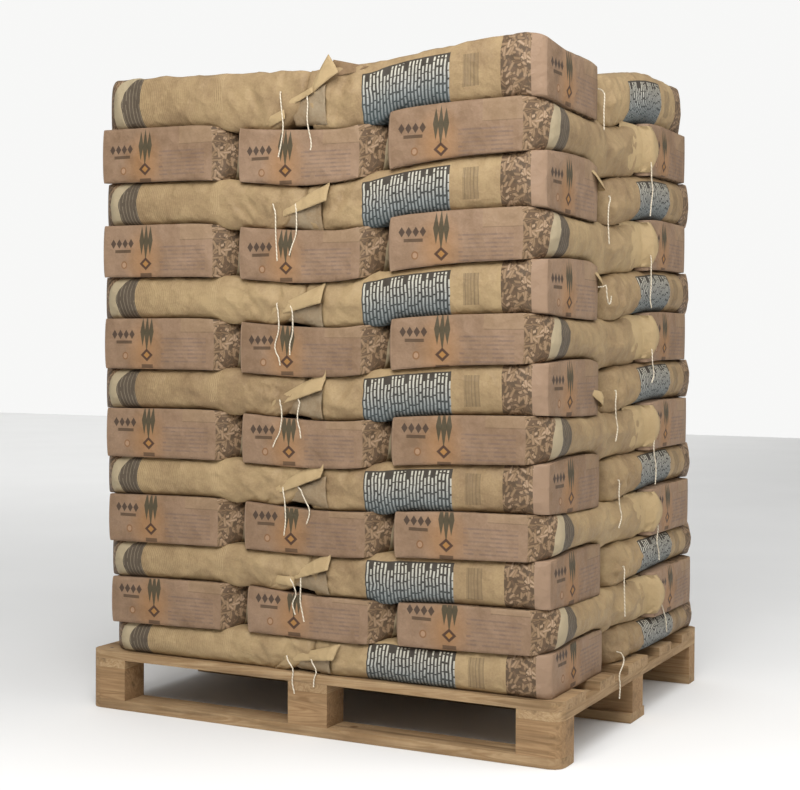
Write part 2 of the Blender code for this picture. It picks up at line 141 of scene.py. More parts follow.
SIDE_THREADS = {
    "13": (13, ((-0.159, 1.444), (-0.165, 1.422), (-0.168, 1.390), (-0.166, 1.350))),
    "12": (12, ((0.129, 1.296), (0.128, 1.270), (0.138, 1.246), (0.128, 1.214), (0.120, 1.182))),
    "11": (11, ((-0.117, 1.208), (-0.136, 1.185), (-0.139, 1.150), (-0.135, 1.122), (-0.130, 1.099))),
    "10": (10, ((0.129, 1.082), (0.122, 1.052), (0.124, 1.017), (0.118, 0.985), (0.129, 0.963))),
    "09": (9, ((-0.165, 1.028), (-0.158, 1.005), (-0.154, 0.985), (-0.143, 0.966), (-0.128, 0.968),
               (-0.124, 0.983))),
    "08": (8, ((0.129, 0.862), (0.130, 0.831), (0.142, 0.804), (0.126, 0.784))),
    "07": (7, ((-0.094, 0.769), (-0.103, 0.742), (-0.098, 0.709), (-0.086, 0.682), (-0.099, 0.654))),
    "06": (6, ((0.143, 0.652), (0.134, 0.623), (0.150, 0.590), (0.154, 0.565), (0.149, 0.538))),
    "05": (5, ((-0.084, 0.564), (-0.093, 0.538), (-0.088, 0.508), (-0.073, 0.480), (-0.092, 0.456))),
    "04": (4, ((0.153, 0.455), (0.160, 0.428), (0.152, 0.399), (0.168, 0.374), (0.171, 0.352))),
    "03": (3, ((-0.068, 0.365), (-0.075, 0.338), (-0.071, 0.296), (-0.067, 0.250))),
    "02": (2, ((0.163, 0.258), (0.190, 0.230), (0.212, 0.203), (0.222, 0.169))),
    "01": (1, ((-0.100, 0.174), (-0.124, 0.150), (-0.148, 0.132), (-0.142, 0.108), (-0.146, 0.078))),
}


# Where each sack lies

def layer_base(layer):
    """Height of a layer's underside before the stack sags."""
    rise = (TOP_LAYER_HEIGHT - BOTTOM_LAYER_HEIGHT) / (LAYER_COUNT - 1)
    below = layer - 1
    return DECK_TOP + below * BOTTOM_LAYER_HEIGHT + rise * below * (below - 1) / 2


def middle_share(layer):
    """1 at the middle layer, falling to 0 at the top and bottom layers."""
    half = (LAYER_COUNT - 1) / 2
    return 1 - ((layer - 1 - half) / half) ** 2


def table_sag(table, place, boundary):
    """Height change in metres at one place or an array of places, on straight lines."""
    if boundary == 0:
        return np.zeros_like(np.asarray(place, dtype=float))
    places = [row[0] for row in table]
    if boundary == LAYER_COUNT:
        values = [row[5] for row in table]
    elif boundary % 2:
        values = [row[1] + row[2] * boundary for row in table]
    else:
        values = [row[3] + row[4] * boundary for row in table]
    return np.interp(place, places, values) / 1000


def surface(boundary, x, y):
    """Height of the top of layer number boundary; 0 is the deck under the bottom layer."""
    sag = table_sag(SAG_ALONG_X, x, boundary) + table_sag(SAG_ALONG_Y, y, boundary)
    return layer_base(boundary + 1) + sag


def soft_surface(boundary, x, y):
    """The same height with its bends eased over a hand's breadth, as paper and pellets take them."""
    along_x = sum(table_sag(SAG_ALONG_X, x + step, boundary) for step in EASE_STEPS) / len(EASE_STEPS)
    along_y = sum(table_sag(SAG_ALONG_Y, y + step, boundary) for step in EASE_STEPS) / len(EASE_STEPS)
    return layer_base(boundary + 1) + along_x + along_y


def sack_places(layer):
    """Base centre, heading and length of the layer's left, right, and three cross sacks."""
    odd = layer % 2 == 1
    row_ends = ODD_ROW_ENDS if odd else EVEN_ROW_ENDS
    row_y = FRONT_ROW_Y if odd else BACK_ROW_Y
    cross_y = BACK_CROSS_BASE_Y if odd else FRONT_CROSS_BASE_Y
    cross_length = CROSS_SACK_LENGTH
    if layer == LAYER_COUNT:
        cross_y = TOP_CROSS_BASE_Y
        cross_length = SACK_LENGTH
    cross_heading = -math.pi / 2 if odd else math.pi / 2
    left = ((row_ends[0], row_y), 0, SACK_LENGTH)
    right = ((row_ends[1], row_y), math.pi, SACK_LENGTH)
    crosses = [((step * SACK_PITCH, cross_y), cross_heading, cross_length) for step in (-1, 0, 1)]
    return left, right, crosses


def settle(layer, x, y):
    """Move a place along X with its layer: the stack leans, and is widest at mid-height and back."""
    share = middle_share(layer)
    above_middle = layer - (LAYER_COUNT + 1) / 2
    if layer % 2 == 0:
        return x + EVEN_DRIFT * share + EVEN_LEAN * above_middle
    spread = 0
    if layer < LAYER_COUNT:
        back_share = np.clip((y - BACK_SPREAD_START) / BACK_SPREAD_RUN, 0, 1)
        spread = MIDDLE_SPREAD * share + BACK_SPREAD * back_share
    return x * (1 + spread) + ODD_DRIFT * share + ODD_LEAN * above_middle


# Where each thread hangs

def sack_plan(layer, sack):
    """Outline of one solid sack seen from above."""
    base_centre, heading, length = sack
    rings = ((0.0, BASE_FRONT_WIDTH, BASE_REAR_WIDTH), (BASE_DEPTH, SACK_HALF_WIDTH, SACK_HALF_WIDTH),
             (length - SEAM_DEPTH, SACK_HALF_WIDTH, SACK_HALF_WIDTH),
             (length, SEAM_HALF_WIDTH, SEAM_HALF_WIDTH))
    local = [(distance, front) for distance, front, _ in rings]
    local += [(distance, -rear) for distance, _, rear in reversed(rings)]
    turn = Matrix.Rotation(heading, 2)
    spots = [turn @ Vector(point) + Vector(base_centre) for point in local]
    return [(float(settle(layer, spot.x, spot.y)), spot.y) for spot in spots]


def wall_depth(layer, along, axis, sign):
    """How far the layer's solid sacks reach outwards at one place along a wall of the stack."""
    left, right, crosses = sack_places(layer)
    reach = []
    for sack in (left, right, *crosses):
        outline = sack_plan(layer, sack)
        for near, far in zip(outline, outline[1:] + outline[:1]):
            low, high = sorted((near[1 - axis], far[1 - axis]))
            if low < along < high:
                share = (along - near[1 - axis]) / (far[1 - axis] - near[1 - axis])
                reach.append(sign * (near[axis] + share * (far[axis] - near[axis])))
    return max(reach)


def thread_wall(layer, along, axis, sign):
    """Depth that a thread's whole end clears, also where the wall is aslant."""
    places = (along - THREAD_RADIUS, along, along + THREAD_RADIUS)
    return max(wall_depth(layer, place, axis, sign) for place in places)


def hang_depth(layer, spots, axis, sign, deck_edge):
    """Depth at which a thread hangs clear of its own layer and of what is under that."""
    reach = [wall_depth(layer, along, axis, sign) for along, _ in spots]
    if layer == 1:
        reach.append(deck_edge)
    else:
        reach += [wall_depth(layer - 1, along, axis, sign) for along, _ in spots]
    return max(reach) + THREAD_HANG_GAP


def into_band(layer, spots, wall_x, wall_y):
    """Keep a thread's first point within the upright band of its sack's wall."""
    low = float(surface(layer - 1, wall_x, wall_y))
    height = float(surface(layer, wall_x, wall_y)) - low
    z = min(max(spots[0][1], low + THREAD_BAND_LOW * height), low + THREAD_BAND_HIGH * height)
    return ((spots[0][0], z), *spots[1:])


def on_front_wall(along, depth, z):
    return Vector((along, -depth, z))


def on_side_wall(along, depth, z):
    return Vector((depth, along, z))


def smooth_route(points):
    """Even points along a smooth curve through the route's own points."""
    knots = [points[0] * 2 - points[1], *points, points[-1] * 2 - points[-2]]
    fine = []
    for a, b, c, d in zip(knots, knots[1:], knots[2:], knots[3:]):
        for step in range(ROUTE_FINENESS):
            t = step / ROUTE_FINENESS
            fine.append(0.5 * (2 * b + (c - a) * t + (2 * a - 5 * b + 4 * c - d) * t ** 2
                               + (3 * b - a - 3 * c + d) * t ** 3))
    fine.append(points[-1].copy())
    lengths = [0.0]
    for near, far in zip(fine, fine[1:]):
        lengths.append(lengths[-1] + (far - near).length)
    count = max(2, round(lengths[-1] / THREAD_STEP))
    even = []
    index = 0
    for step in range(count + 1):
        target = lengths[-1] * step / count
        while index < len(fine) - 2 and lengths[index + 1] < target:
            index += 1
        share = (target - lengths[index]) / (lengths[index + 1] - lengths[index])
        even.append(fine[index].lerp(fine[index + 1], min(share, 1.0)))
    return even


def hang_route(spots, place, start_depth, depth):
    """Route that leaves the wall straight out at start_depth, then bends and hangs at depth."""
    first, second = spots[0], spots[1]
    bend_depth = start_depth + THREAD_START_RUN
    reach = depth - bend_depth
    drop = first[1] - second[1]
    route = [place(first[0], bend_depth, first[1])]
    for out, down in THREAD_BEND:
        along = first[0] + (second[0] - first[0]) * down
        route.append(place(along, bend_depth + out * reach, first[1] - down * drop))
    route += [place(along, depth, z) for along, z in spots[1:]]
    return [place(first[0], start_depth, first[1]), *smooth_route(route)]


def thread_routes():
    """Name and route of every hanging thread."""
    routes = {}
    for side, threads, place, axis, sign, deck_edge in (
            ("front", FRONT_THREADS, on_front_wall, 1, -1, PALLET_WIDTH / 2),
            ("side", SIDE_THREADS, on_side_wall, 0, 1, PALLET_LENGTH / 2)):
        for key, (layer, spots) in threads.items():
            hang = hang_depth(layer, spots, axis, sign, deck_edge)
            wall = thread_wall(layer, spots[0][0], axis, sign)
            at_wall = (spots[0][0], -wall) if axis else (wall, spots[0][0])
            spots = into_band(layer, spots, *at_wall)
            routes[f"{side}_{key}"] = hang_route(spots, place, wall + THREAD_START_GAP, hang)
    return routes


# Shaping one sack

# How much shorter than its solid each sack lies, so that sewn ends meet but don't cross, in metres
END_SHORTENED = {"left": 0.010, "right": 0.023, "cross": 0.010}
LAYER_GAP = 0.0006

# Points around the sack: up its front side, over the top, down its rear side and back underneath
AROUND_SIDE = 25
AROUND_FLAT = 16
REAR_START = AROUND_SIDE + AROUND_FLAT
REAR_PRINT_START = AROUND_SIDE + AROUND_FLAT // 2
REAR_PRINT_END = REAR_START + REAR_PRINT_START
PANEL_RINGS = 7
BASE_CUTS_RUN = 0.075
END_CUTS_RUN = 0.150

# The base's rounded corners, and how much the sewn end rounds off
BASE_INSET = 0.006
CORNER_RUN = 0.040
FULL_WIDTH_RUN = 0.065
END_ROUND_RUN = 0.020
END_ROUND = 0.012
EDGE_ROUND = 0.004
ROW_SIDE_ROUND = 0.019
CROSS_SIDE_ROUND = 0.030

# How high the paper's long folds and its small wrinkles stand
LONG_FOLD = 0.0018
SMALL_WRINKLE = 0.0012
TOP_WRINKLE = 0.0016
# The waves of both: how many, the shortest and the longest
LONG_FOLD_WAVES = (7, 0.05, 0.16)
SMALL_WRINKLE_WAVES = (6, 0.018, 0.045)

# Where the paper starts to hang slacker, from the base, and how far it stands off its solid
SLACK_START = 0.22
SLACK_RUN = 0.20
ROW_SWELL = 0.0035
CROSS_SWELL = 0.0015

# How the sides swell after the base, and flatten near the sewn end: share, start from the end, run
BASE_SWELL_RUN = 0.07
END_FLATTEN = (0.45, 0.14, 0.10)

# How a slender sack narrows (amount, start from the sewn end, run), and its tip (amount, run)
SLENDER_TAPER = (0.012, 0.28, 0.20)
SLENDER_TIP = (0.022, 0.070)

# Creases, gathers and ridges: place from the sewn end, reach, spacing and rise, in metres
ROW_CREASE = {"left": 0.068, "right": 0.045}
CREASE_DEPTH = 0.0050
CREASE_REACH = 0.0050
GATHER_PLACE = 0.165
GATHER_REACH = 0.016
GATHER_PITCH = 0.0105
GATHER_RISE = 0.0024
SWEEP_PLACE = 0.185
SWEEP_REACH = 0.055
SWEEP_PITCH = 0.040
SWEEP_RISE = 0.0055
RIDGE_PLACE = 0.135
RIDGE_REACH = 0.0085
RIDGE_RISE = 0.0065
VALLEY_PLACE = 0.105
VALLEY_REACH = 0.0100
VALLEY_DEPTH = 0.0035
NECK_PLACE = 0.255

# Swellings and creases of cross sacks as (rise, place from the sewn end, reach), in metres
ODD_CROSS_SWELLS = ((-0.0075, 0.104, 0.0060), (0.0050, 0.085, 0.014))
EVEN_CROSS_SWELLS = ((-0.0070, 0.210, 0.030), (0.0035, 0.035, 0.006))

# How far the folded and sewn end draws in at its low and high edge, and the share of its height that
# it sinks by
SEWN_RUN = 0.075
LEFT_UNDERCUT = 0.072
LEFT_UNDERCUT_RUN = 0.16
LOW_UNDERCUT = 0.012
HIGH_UNDERCUT = 0.004
SINK_RUN = 0.10
SINK = 0.025
SLENDER_SINK = 0.08

# The top layer's sacks, which nothing presses flat
TOP_CROWN = 0.012
TOP_CROWN_RUN = 0.06
TOP_CREASE = 0.0015
TOP_BASE_DROP = 0.016
TOP_BASE_DROP_RUN = 0.055
TOP_SWELL = 0.004

# How sacks give way over and under their neighbours' notches, at the front and on the right side
NOTCH_WALL_Y = -0.49
NOTCH_REACH = 0.030
FRONT_EDGE_Y = -0.405
SIDE_EDGE_X = 0.46
EDGE_RUN = 0.06
FRONT_NOTCH_LOW = 0.008
FRONT_NOTCH_HIGH = 0.006
SIDE_NOTCH_Y = -0.140
SIDE_NOTCH_LOW = 0.012
SIDE_NOTCH_HIGH = 0.008

# The flat base: how far it bows and leans, and how high its half is
BASE_BOW = (0.002, 0.0045)
BASE_TILT = 0.003
BASE_HALF_HEIGHT = 0.05

# Where the papers lie on the baked picture, as shares of it
BAKED_SHARE = 0.96
BAKED_BODY = (0.01, 0.15)
BAKED_BASE = (0.20, 0.02)
BAKED_BASE_ROOM = 0.20
BAKED_BASE_RISE = 0.9
SEAM_PRINT_REACH = 0.04
SEAM_BAKED_REACH = 0.05


def ease(value):
    """0 to 1 with level ends."""
    value = np.clip(value, 0, 1)
    return value * value * (3 - 2 * value)


def bump(value, centre, reach):
    """A smooth hump, 1 at its centre."""
    return np.exp(-((value - centre) / reach) ** 2)


def ridges(turns):
    """Waves from -1 to 1 with sharp ridges, two of them in each turn."""
    return 1 - 2 * np.abs(np.sin(turns))


def stations(length):
    """Distances from the base at which the sack is cut across, close together at both ends."""
    near = BASE_CUTS_RUN * np.linspace(0, 1, 17) ** 1.7
    middle = np.linspace(BASE_CUTS_RUN, length - END_CUTS_RUN, 24)[1:]
    far = np.linspace(length - END_CUTS_RUN, length, 24)[1:]
    return np.concatenate((near, middle, far))


def folds(distance, across, rng, count, low, high):
    """Seeded shallow ripples of paper: the sum of crossing waves, sharper on their ridges."""
    field = np.zeros_like(distance)
    for _ in range(count):
        wave = rng.uniform(low, high)
        angle = rng.uniform(-1.0, 1.0)
        phase = rng.uniform(0, 2 * math.pi)
        inner = 2 * math.pi * (distance * math.sin(angle) + across * math.cos(angle)) / wave
        inner += 1.3 * np.sin(2 * math.pi * distance / (wave * 2.7) + phase)
        field += ridges(inner / 2 + phase)
    return field / math.sqrt(count)


def fan(distance, height, start, level, count, turn):
    """Sharp ridges that spread like a fan from one place: distance start, height level."""
    return ridges(count * np.arctan2((height - level) * 0.11, distance - start) + turn)


def notch_places(layer):
    """X of the notches between the base panels that the layer shows at the front."""
    _, _, crosses = sack_places(layer)
    middle = (SACK_PITCH + BASE_REAR_WIDTH - BASE_FRONT_WIDTH) / 2
    return [float(settle(layer, sack[0][0] + middle, NOTCH_WALL_Y)) for sack in crosses[:2]]


def sack_heights(layer, kind, x, y):
    """Underside and top of one sack, which gives way over and under its neighbours' notches."""
    low = soft_surface(layer - 1, x, y) + LAYER_GAP
    high = soft_surface(layer, x, y) - LAYER_GAP
    if layer % 2 and kind in ("left", "right"):
        edge = ease((FRONT_EDGE_Y - y) / EDGE_RUN)
        if layer > 1:
            for place in notch_places(layer - 1):
                low = low - FRONT_NOTCH_LOW * edge * bump(x, place, NOTCH_REACH)
        if layer < LAYER_COUNT:
            for place in notch_places(layer + 1):
                high = high + FRONT_NOTCH_HIGH * edge * bump(x, place, NOTCH_REACH)
    if layer % 2 == 0 and kind == "cross_2":
        edge = ease((x - SIDE_EDGE_X) / EDGE_RUN) * bump(y, SIDE_NOTCH_Y, NOTCH_REACH)
        low = low - SIDE_NOTCH_LOW * edge
        high = high + SIDE_NOTCH_HIGH * edge
    if layer == LAYER_COUNT:
        high = high + TOP_SWELL
    return low, high


def row_closure(kind, distance, height, length, rng):
    """The folded end of a long sack in a row: a crease, a fan of folds, and gathers or one ridge."""
    crease = length - ROW_CREASE[kind]
    rise = -CREASE_DEPTH * bump(distance, crease, CREASE_REACH)
    rise += 0.0035 * ease((crease - distance) / 0.004) * ease((distance - crease + 0.10) / 0.08)
    rise += 0.0045 * bump(distance, length - 0.10, 0.05) * fan(
        distance, height, length - 0.02, rng.uniform(0.3, 0.6), 3.0, rng.uniform(0, 3))
    if kind == "left":
        slant = distance + 0.020 * (height - 0.5)
        gather_share = bump(distance, length - GATHER_PLACE, GATHER_REACH) * ease((height - 0.15) / 0.3)
        rise += GATHER_RISE * ridges(math.pi * slant / GATHER_PITCH) * gather_share
        sweep = distance - 0.075 * (1 - height) ** 2
        sweep_share = bump(distance, length - SWEEP_PLACE, SWEEP_REACH) * ease((0.80 - height) / 0.3)
        return rise + SWEEP_RISE * ridges(math.pi * sweep / SWEEP_PITCH) * sweep_share
    ridge = distance - (length - RIDGE_PLACE) - 0.055 * (1 - height) ** 1.5
    valley = distance - (length - VALLEY_PLACE) - 0.040 * (1 - height) ** 1.5
    return (rise + RIDGE_RISE * bump(ridge, 0, RIDGE_REACH) * ease((height - 0.25) / 0.3)
            - VALLEY_DEPTH * bump(valley, 0, VALLEY_REACH))


def cross_closure(odd, distance, height, length, rng):
    """The folded end of a cross sack: flat in the odd layers, drawn in to a neck in the even ones."""
    swells = ODD_CROSS_SWELLS if odd else EVEN_CROSS_SWELLS
    rise = sum(depth * bump(distance, length - place, reach) for depth, place, reach in swells)
    if odd:
        rise += 0.0050 * bump(distance, length - 0.048 + 0.02 * (height - 0.5) ** 2, 0.008)
        return rise + 0.0040 * bump(distance, length - 0.05, 0.04) * fan(
            distance, height, length - 0.01, 0.4, 2.5, rng.uniform(0, 3))
    return rise + 0.0080 * bump(distance, length - 0.165, 0.075) * fan(
        distance, height, length - NECK_PLACE, rng.uniform(0.40, 0.55), 3.2, rng.uniform(-0.4, 0.4))


def half_widths(run, length, slender):
    """How far a sack reaches to its front and its rear; a slender one narrows to its sewn end."""
    corner = np.sqrt(1 - (1 - np.clip(run / CORNER_RUN, 0, 1)) ** 2)
    grow_front = 0.45 * corner + 0.55 * np.sin(np.clip(run / FULL_WIDTH_RUN, 0, 1) * math.pi / 2)
    grow_rear = np.sin(np.clip(run / BASE_DEPTH, 0, 1) * math.pi / 2)
    last = np.clip((run - (length - END_ROUND_RUN)) / END_ROUND_RUN, 0, 1)
    narrow = END_ROUND * (1 - np.sqrt(1 - last ** 2))
    if slender:
        amount, place, taper_run = SLENDER_TAPER
        narrow = narrow + amount * ease((run - (length - place)) / taper_run)
        amount, place = SLENDER_TIP
        narrow = narrow + amount * np.clip((run - (length - place)) / place, 0, 1) ** 2
    base_front = BASE_FRONT_WIDTH - BASE_INSET
    front = base_front + (SACK_HALF_WIDTH - base_front) * grow_front - narrow
    rear = BASE_REAR_WIDTH + (SACK_HALF_WIDTH - BASE_REAR_WIDTH) * grow_rear - narrow
    return front, rear


def sack_shape(layer, kind, sack, rng):
    """Grid of points for one sack, from the flat base to the sewn end."""
    base_centre, heading, full_length = sack
    odd = layer % 2 == 1
    row = kind in ("left", "right")
    length = full_length - END_SHORTENED[kind[:5]]
    run = stations(length)[:, None]
    ones = np.ones_like(run)

    # Around the sack: place across, height as a share, and how far the paper faces outwards
    turn = np.linspace(-math.pi / 2, math.pi / 2, AROUND_SIDE + 1)[None, :]
    flat = np.linspace(0, 1, AROUND_FLAT + 1)[None, 1:-1]
    front, rear = half_widths(run, length, odd and not row)
    flatten, place, flatten_run = END_FLATTEN
    fullness = ease(run / BASE_SWELL_RUN) * (1 - flatten * ease((run - (length - place)) / flatten_run))
    round_off = EDGE_ROUND + (ROW_SIDE_ROUND if row else CROSS_SIDE_ROUND) * fullness
    side_front = front - round_off * (1 - np.cos(turn))
    side_rear = -(rear - round_off * (1 - np.cos(turn[:, ::-1])))
    top = (front - round_off) * (1 - flat) - (rear - round_off) * flat
    level = 0.5 + 0.5 * np.sin(turn)
    none = ones * np.zeros_like(flat)
    across = np.concatenate((side_front, top, side_rear, top[:, ::-1]), axis=1)
    height = np.concatenate((ones * level, none + 1, ones * level[:, ::-1], none), axis=1)
    outward = np.concatenate((ones * np.cos(turn), none, -ones * np.cos(turn[:, ::-1]), none), axis=1)

    # Folds, wrinkles, and the folded and sewn end
    distance = run * np.ones_like(across)
    ride = folds(distance, height * 0.1, rng, *LONG_FOLD_WAVES)
    small = folds(distance, height * 0.1 + across, rng, *SMALL_WRINKLE_WAVES)
    swell = ease(run / 0.05)
    slack = 0.6 + 0.8 * ease((run - SLACK_START) / SLACK_RUN)
    across = across + outward * swell * slack * (LONG_FOLD * ride + SMALL_WRINKLE * small)
    across = across + outward * (ROW_SWELL if row else CROSS_SWELL) * swell
    if row:
        across = across + outward * row_closure(kind, distance, height, length, rng)
    else:
        across = across + outward * cross_closure(odd, distance, height, length, rng)
    end = ease((distance - (length - SEWN_RUN)) / SEWN_RUN)
    if kind == "left":
        drawn_in = ease((distance - (length - LEFT_UNDERCUT_RUN)) / LEFT_UNDERCUT_RUN)
        distance = distance - LEFT_UNDERCUT * drawn_in * (1 - height) ** 2.6
    else:
        distance = distance - LOW_UNDERCUT * end * (1 - height) ** 1.6 - HIGH_UNDERCUT * end * height ** 4

    # Laid down in its layer
    x = base_centre[0] + math.cos(heading) * distance - math.sin(heading) * across
    y = base_centre[1] + math.sin(heading) * distance + math.cos(heading) * across
    x = settle(layer, x, y)
    low, high = sack_heights(layer, kind, x, y)
    sink = (SLENDER_SINK if odd and not row else SINK) * ease((run - (length - SINK_RUN)) / SINK_RUN)
    z = low + (high - low) * height * (1 - sink)
    z = z - TOP_WRINKLE * small * ease((height - 0.55) / 0.4) * swell
    if layer == LAYER_COUNT:
        crown = np.clip(1 - (across / (SACK_HALF_WIDTH - 0.02)) ** 2, 0, 1)
        z = z + TOP_CROWN * crown * ease(run / TOP_CROWN_RUN) * (1 - end) * ease((height - 0.6) / 0.4)
        z = z + TOP_CREASE * (ride + 0.5 * small) * ease((height - 0.9) / 0.1) * swell
        drop = (1 - np.clip(run / TOP_BASE_DROP_RUN, 0, 1)) ** 2
        z = z - TOP_BASE_DROP * drop * ease((height - 0.4) / 0.6)
    return np.stack((x, y, z), axis=2)


def panel_shape(ring, heading, rng):
    """Rings of points that close the flat base, bowed a little outwards, and its middle point."""
    centre = ring.mean(axis=0)
    outward = -np.array((math.cos(heading), math.sin(heading), 0.0))
    bow = rng.uniform(*BASE_BOW)
    tilt = rng.uniform(-BASE_TILT, BASE_TILT)
    rings = []
    for step in range(1, PANEL_RINGS + 1):
        share = 1 - step / (PANEL_RINGS + 0.5)
        spots = centre + (ring - centre) * share
        local = (spots - centre)[:, 2] / BASE_HALF_HEIGHT
        push = bow * (1 - share ** 2) + tilt * local * (1 - share)
        rings.append(spots + outward * push[:, None])
    return rings, centre + outward * bow


def measure_paper(grid):
    """Distances over the paper: from the base edge, and around the sack from the first point."""
    steps = np.linalg.norm(np.diff(grid, axis=0), axis=2)
    along = np.concatenate((np.zeros((1, grid.shape[1])), np.cumsum(steps, axis=0)))
    closed = np.concatenate((grid, grid[:, :1]), axis=1)
    steps_around = np.linalg.norm(np.diff(closed, axis=1), axis=2)
    around = np.concatenate((np.zeros((grid.shape[0], 1)), np.cumsum(steps_around, axis=1)), axis=1)
    return along, around


def build_sack(name, layer, kind, sack, papers):
    """One filled sack as a single closed mesh with its three papers."""
    rng = np.random.default_rng(SEED + layer * 17 + len(kind) * 5 + sum(map(ord, kind)))
    grid = sack_shape(layer, kind, sack, rng)
    count, around_count = grid.shape[:2]
    rings, base_middle = panel_shape(grid[0], sack[1], rng)
    end_middle = grid[-1].mean(axis=0)
    spots = np.concatenate((grid.reshape(-1, 3), *rings, base_middle[None, :], end_middle[None, :]))
    base_index, seam_index = len(spots) - 2, len(spots) - 1
    along, around = measure_paper(grid)
    centre_front = around[:, AROUND_SIDE // 2] + (around[:, 1] - around[:, 0]) / 2
    centre_rear = around[:, REAR_START + AROUND_SIDE // 2]
    scale = BAKED_SHARE / max(around[:, -1].max(), along.max() + BAKED_BASE_ROOM)
    side_way = np.array((-math.sin(sack[1]), math.cos(sack[1]), 0.0))
    low_edge = grid[0][:, 2].min()
    panel_origin = grid[0].mean(axis=0)
    faces = []
    paper_numbers = []
    print_places = []
    bake_places = []

    def add_face(corners, places, paper):
        faces.append(tuple(int(corner) for corner in corners))
        paper_numbers.append(paper)
        for print_place, bake_place in places:
            print_places.append(print_place)
            bake_places.append(bake_place)

    def body_place(i, j, column, inwards=0):
        """Places on the print and on the baked picture; inwards is 1 at the middle of the sewn end."""
        if REAR_PRINT_START <= column < REAR_PRINT_END:
            across = centre_rear[i] - around[i, j]
        elif column >= REAR_PRINT_END:
            across = around[i, j] - around[i, -1] - centre_front[i]
        else:
            across = around[i, j] - centre_front[i]
        run = along[i, j % around_count]
        return ((run + SEAM_PRINT_REACH * inwards, across),
                (BAKED_BODY[0] + around[i, j] * scale,
                 BAKED_BODY[1] + run * scale + SEAM_BAKED_REACH * scale * inwards))

    def base_place(index):
        """The same places for a point of the flat base."""
        across = float((spots[index] - panel_origin) @ side_way) + (BASE_FRONT_WIDTH - BASE_REAR_WIDTH) / 2
        up = float(spots[index][2] - low_edge)
        return (across, up), (BAKED_BASE[0] + across * scale,
                              BAKED_BASE[1] + up * scale * BAKED_BASE_RISE)

    for i in range(count - 1):
        for j in range(around_count):
            following = (j + 1) % around_count
            near, far = i * around_count, (i + 1) * around_count
            places = [body_place(row, column, j)
                      for row, column in ((i, j), (i, j + 1), (i + 1, j + 1), (i + 1, j))]
            add_face((near + j, near + following, far + following, far + j), places,
                     1 if REAR_PRINT_START <= j < REAR_PRINT_END else 0)
    seam_row = (count - 1) * around_count
    for j in range(around_count):
        places = [body_place(count - 1, column, j, inwards)
                  for column, inwards in ((j, 0), (j + 1, 0), (j, 1))]
        add_face((seam_row + j, seam_row + (j + 1) % around_count, seam_index), places, 0)
    ring_rows = [np.arange(around_count)]
    ring_rows += [(count + step) * around_count + np.arange(around_count) for step in range(len(rings))]
    for outer, inner in zip(ring_rows, ring_rows[1:]):
        for j in range(around_count):
            following = (j + 1) % around_count
            corners = (outer[following], outer[j], inner[j], inner[following])
            add_face(corners, [base_place(corner) for corner in corners], 2)
    for j in range(around_count):
        corners = (ring_rows[-1][(j + 1) % around_count], ring_rows[-1][j], base_index)
        add_face(corners, [base_place(corner) for corner in corners], 2)

    mesh = bpy.data.meshes.new(name)
    mesh.from_pydata(spots.tolist(), [], faces)
    for map_name, places in (("OFBake", bake_places), ("print", print_places)):
        paper_map = mesh.uv_layers.new(name=map_name)
        paper_map.data.foreach_set("uv", np.asarray(places, dtype=np.float32).ravel())
    for paper in papers:
        mesh.materials.append(paper)
    mesh.polygons.foreach_set("material_index", paper_numbers)
    mesh.polygons.foreach_set("use_smooth", [True] * len(faces))
    tone = mesh.attributes.new("tone", "FLOAT", "POINT")
    tone.data.foreach_set("value", np.full(len(spots), rng.uniform(-1, 1), dtype=np.float32))
    mesh.update()
    filled_sack = bpy.data.objects.new(name, mesh)
    bpy.context.collection.objects.link(filled_sack)
    return filled_sack


# Folded tops that stick out where sewn ends meet

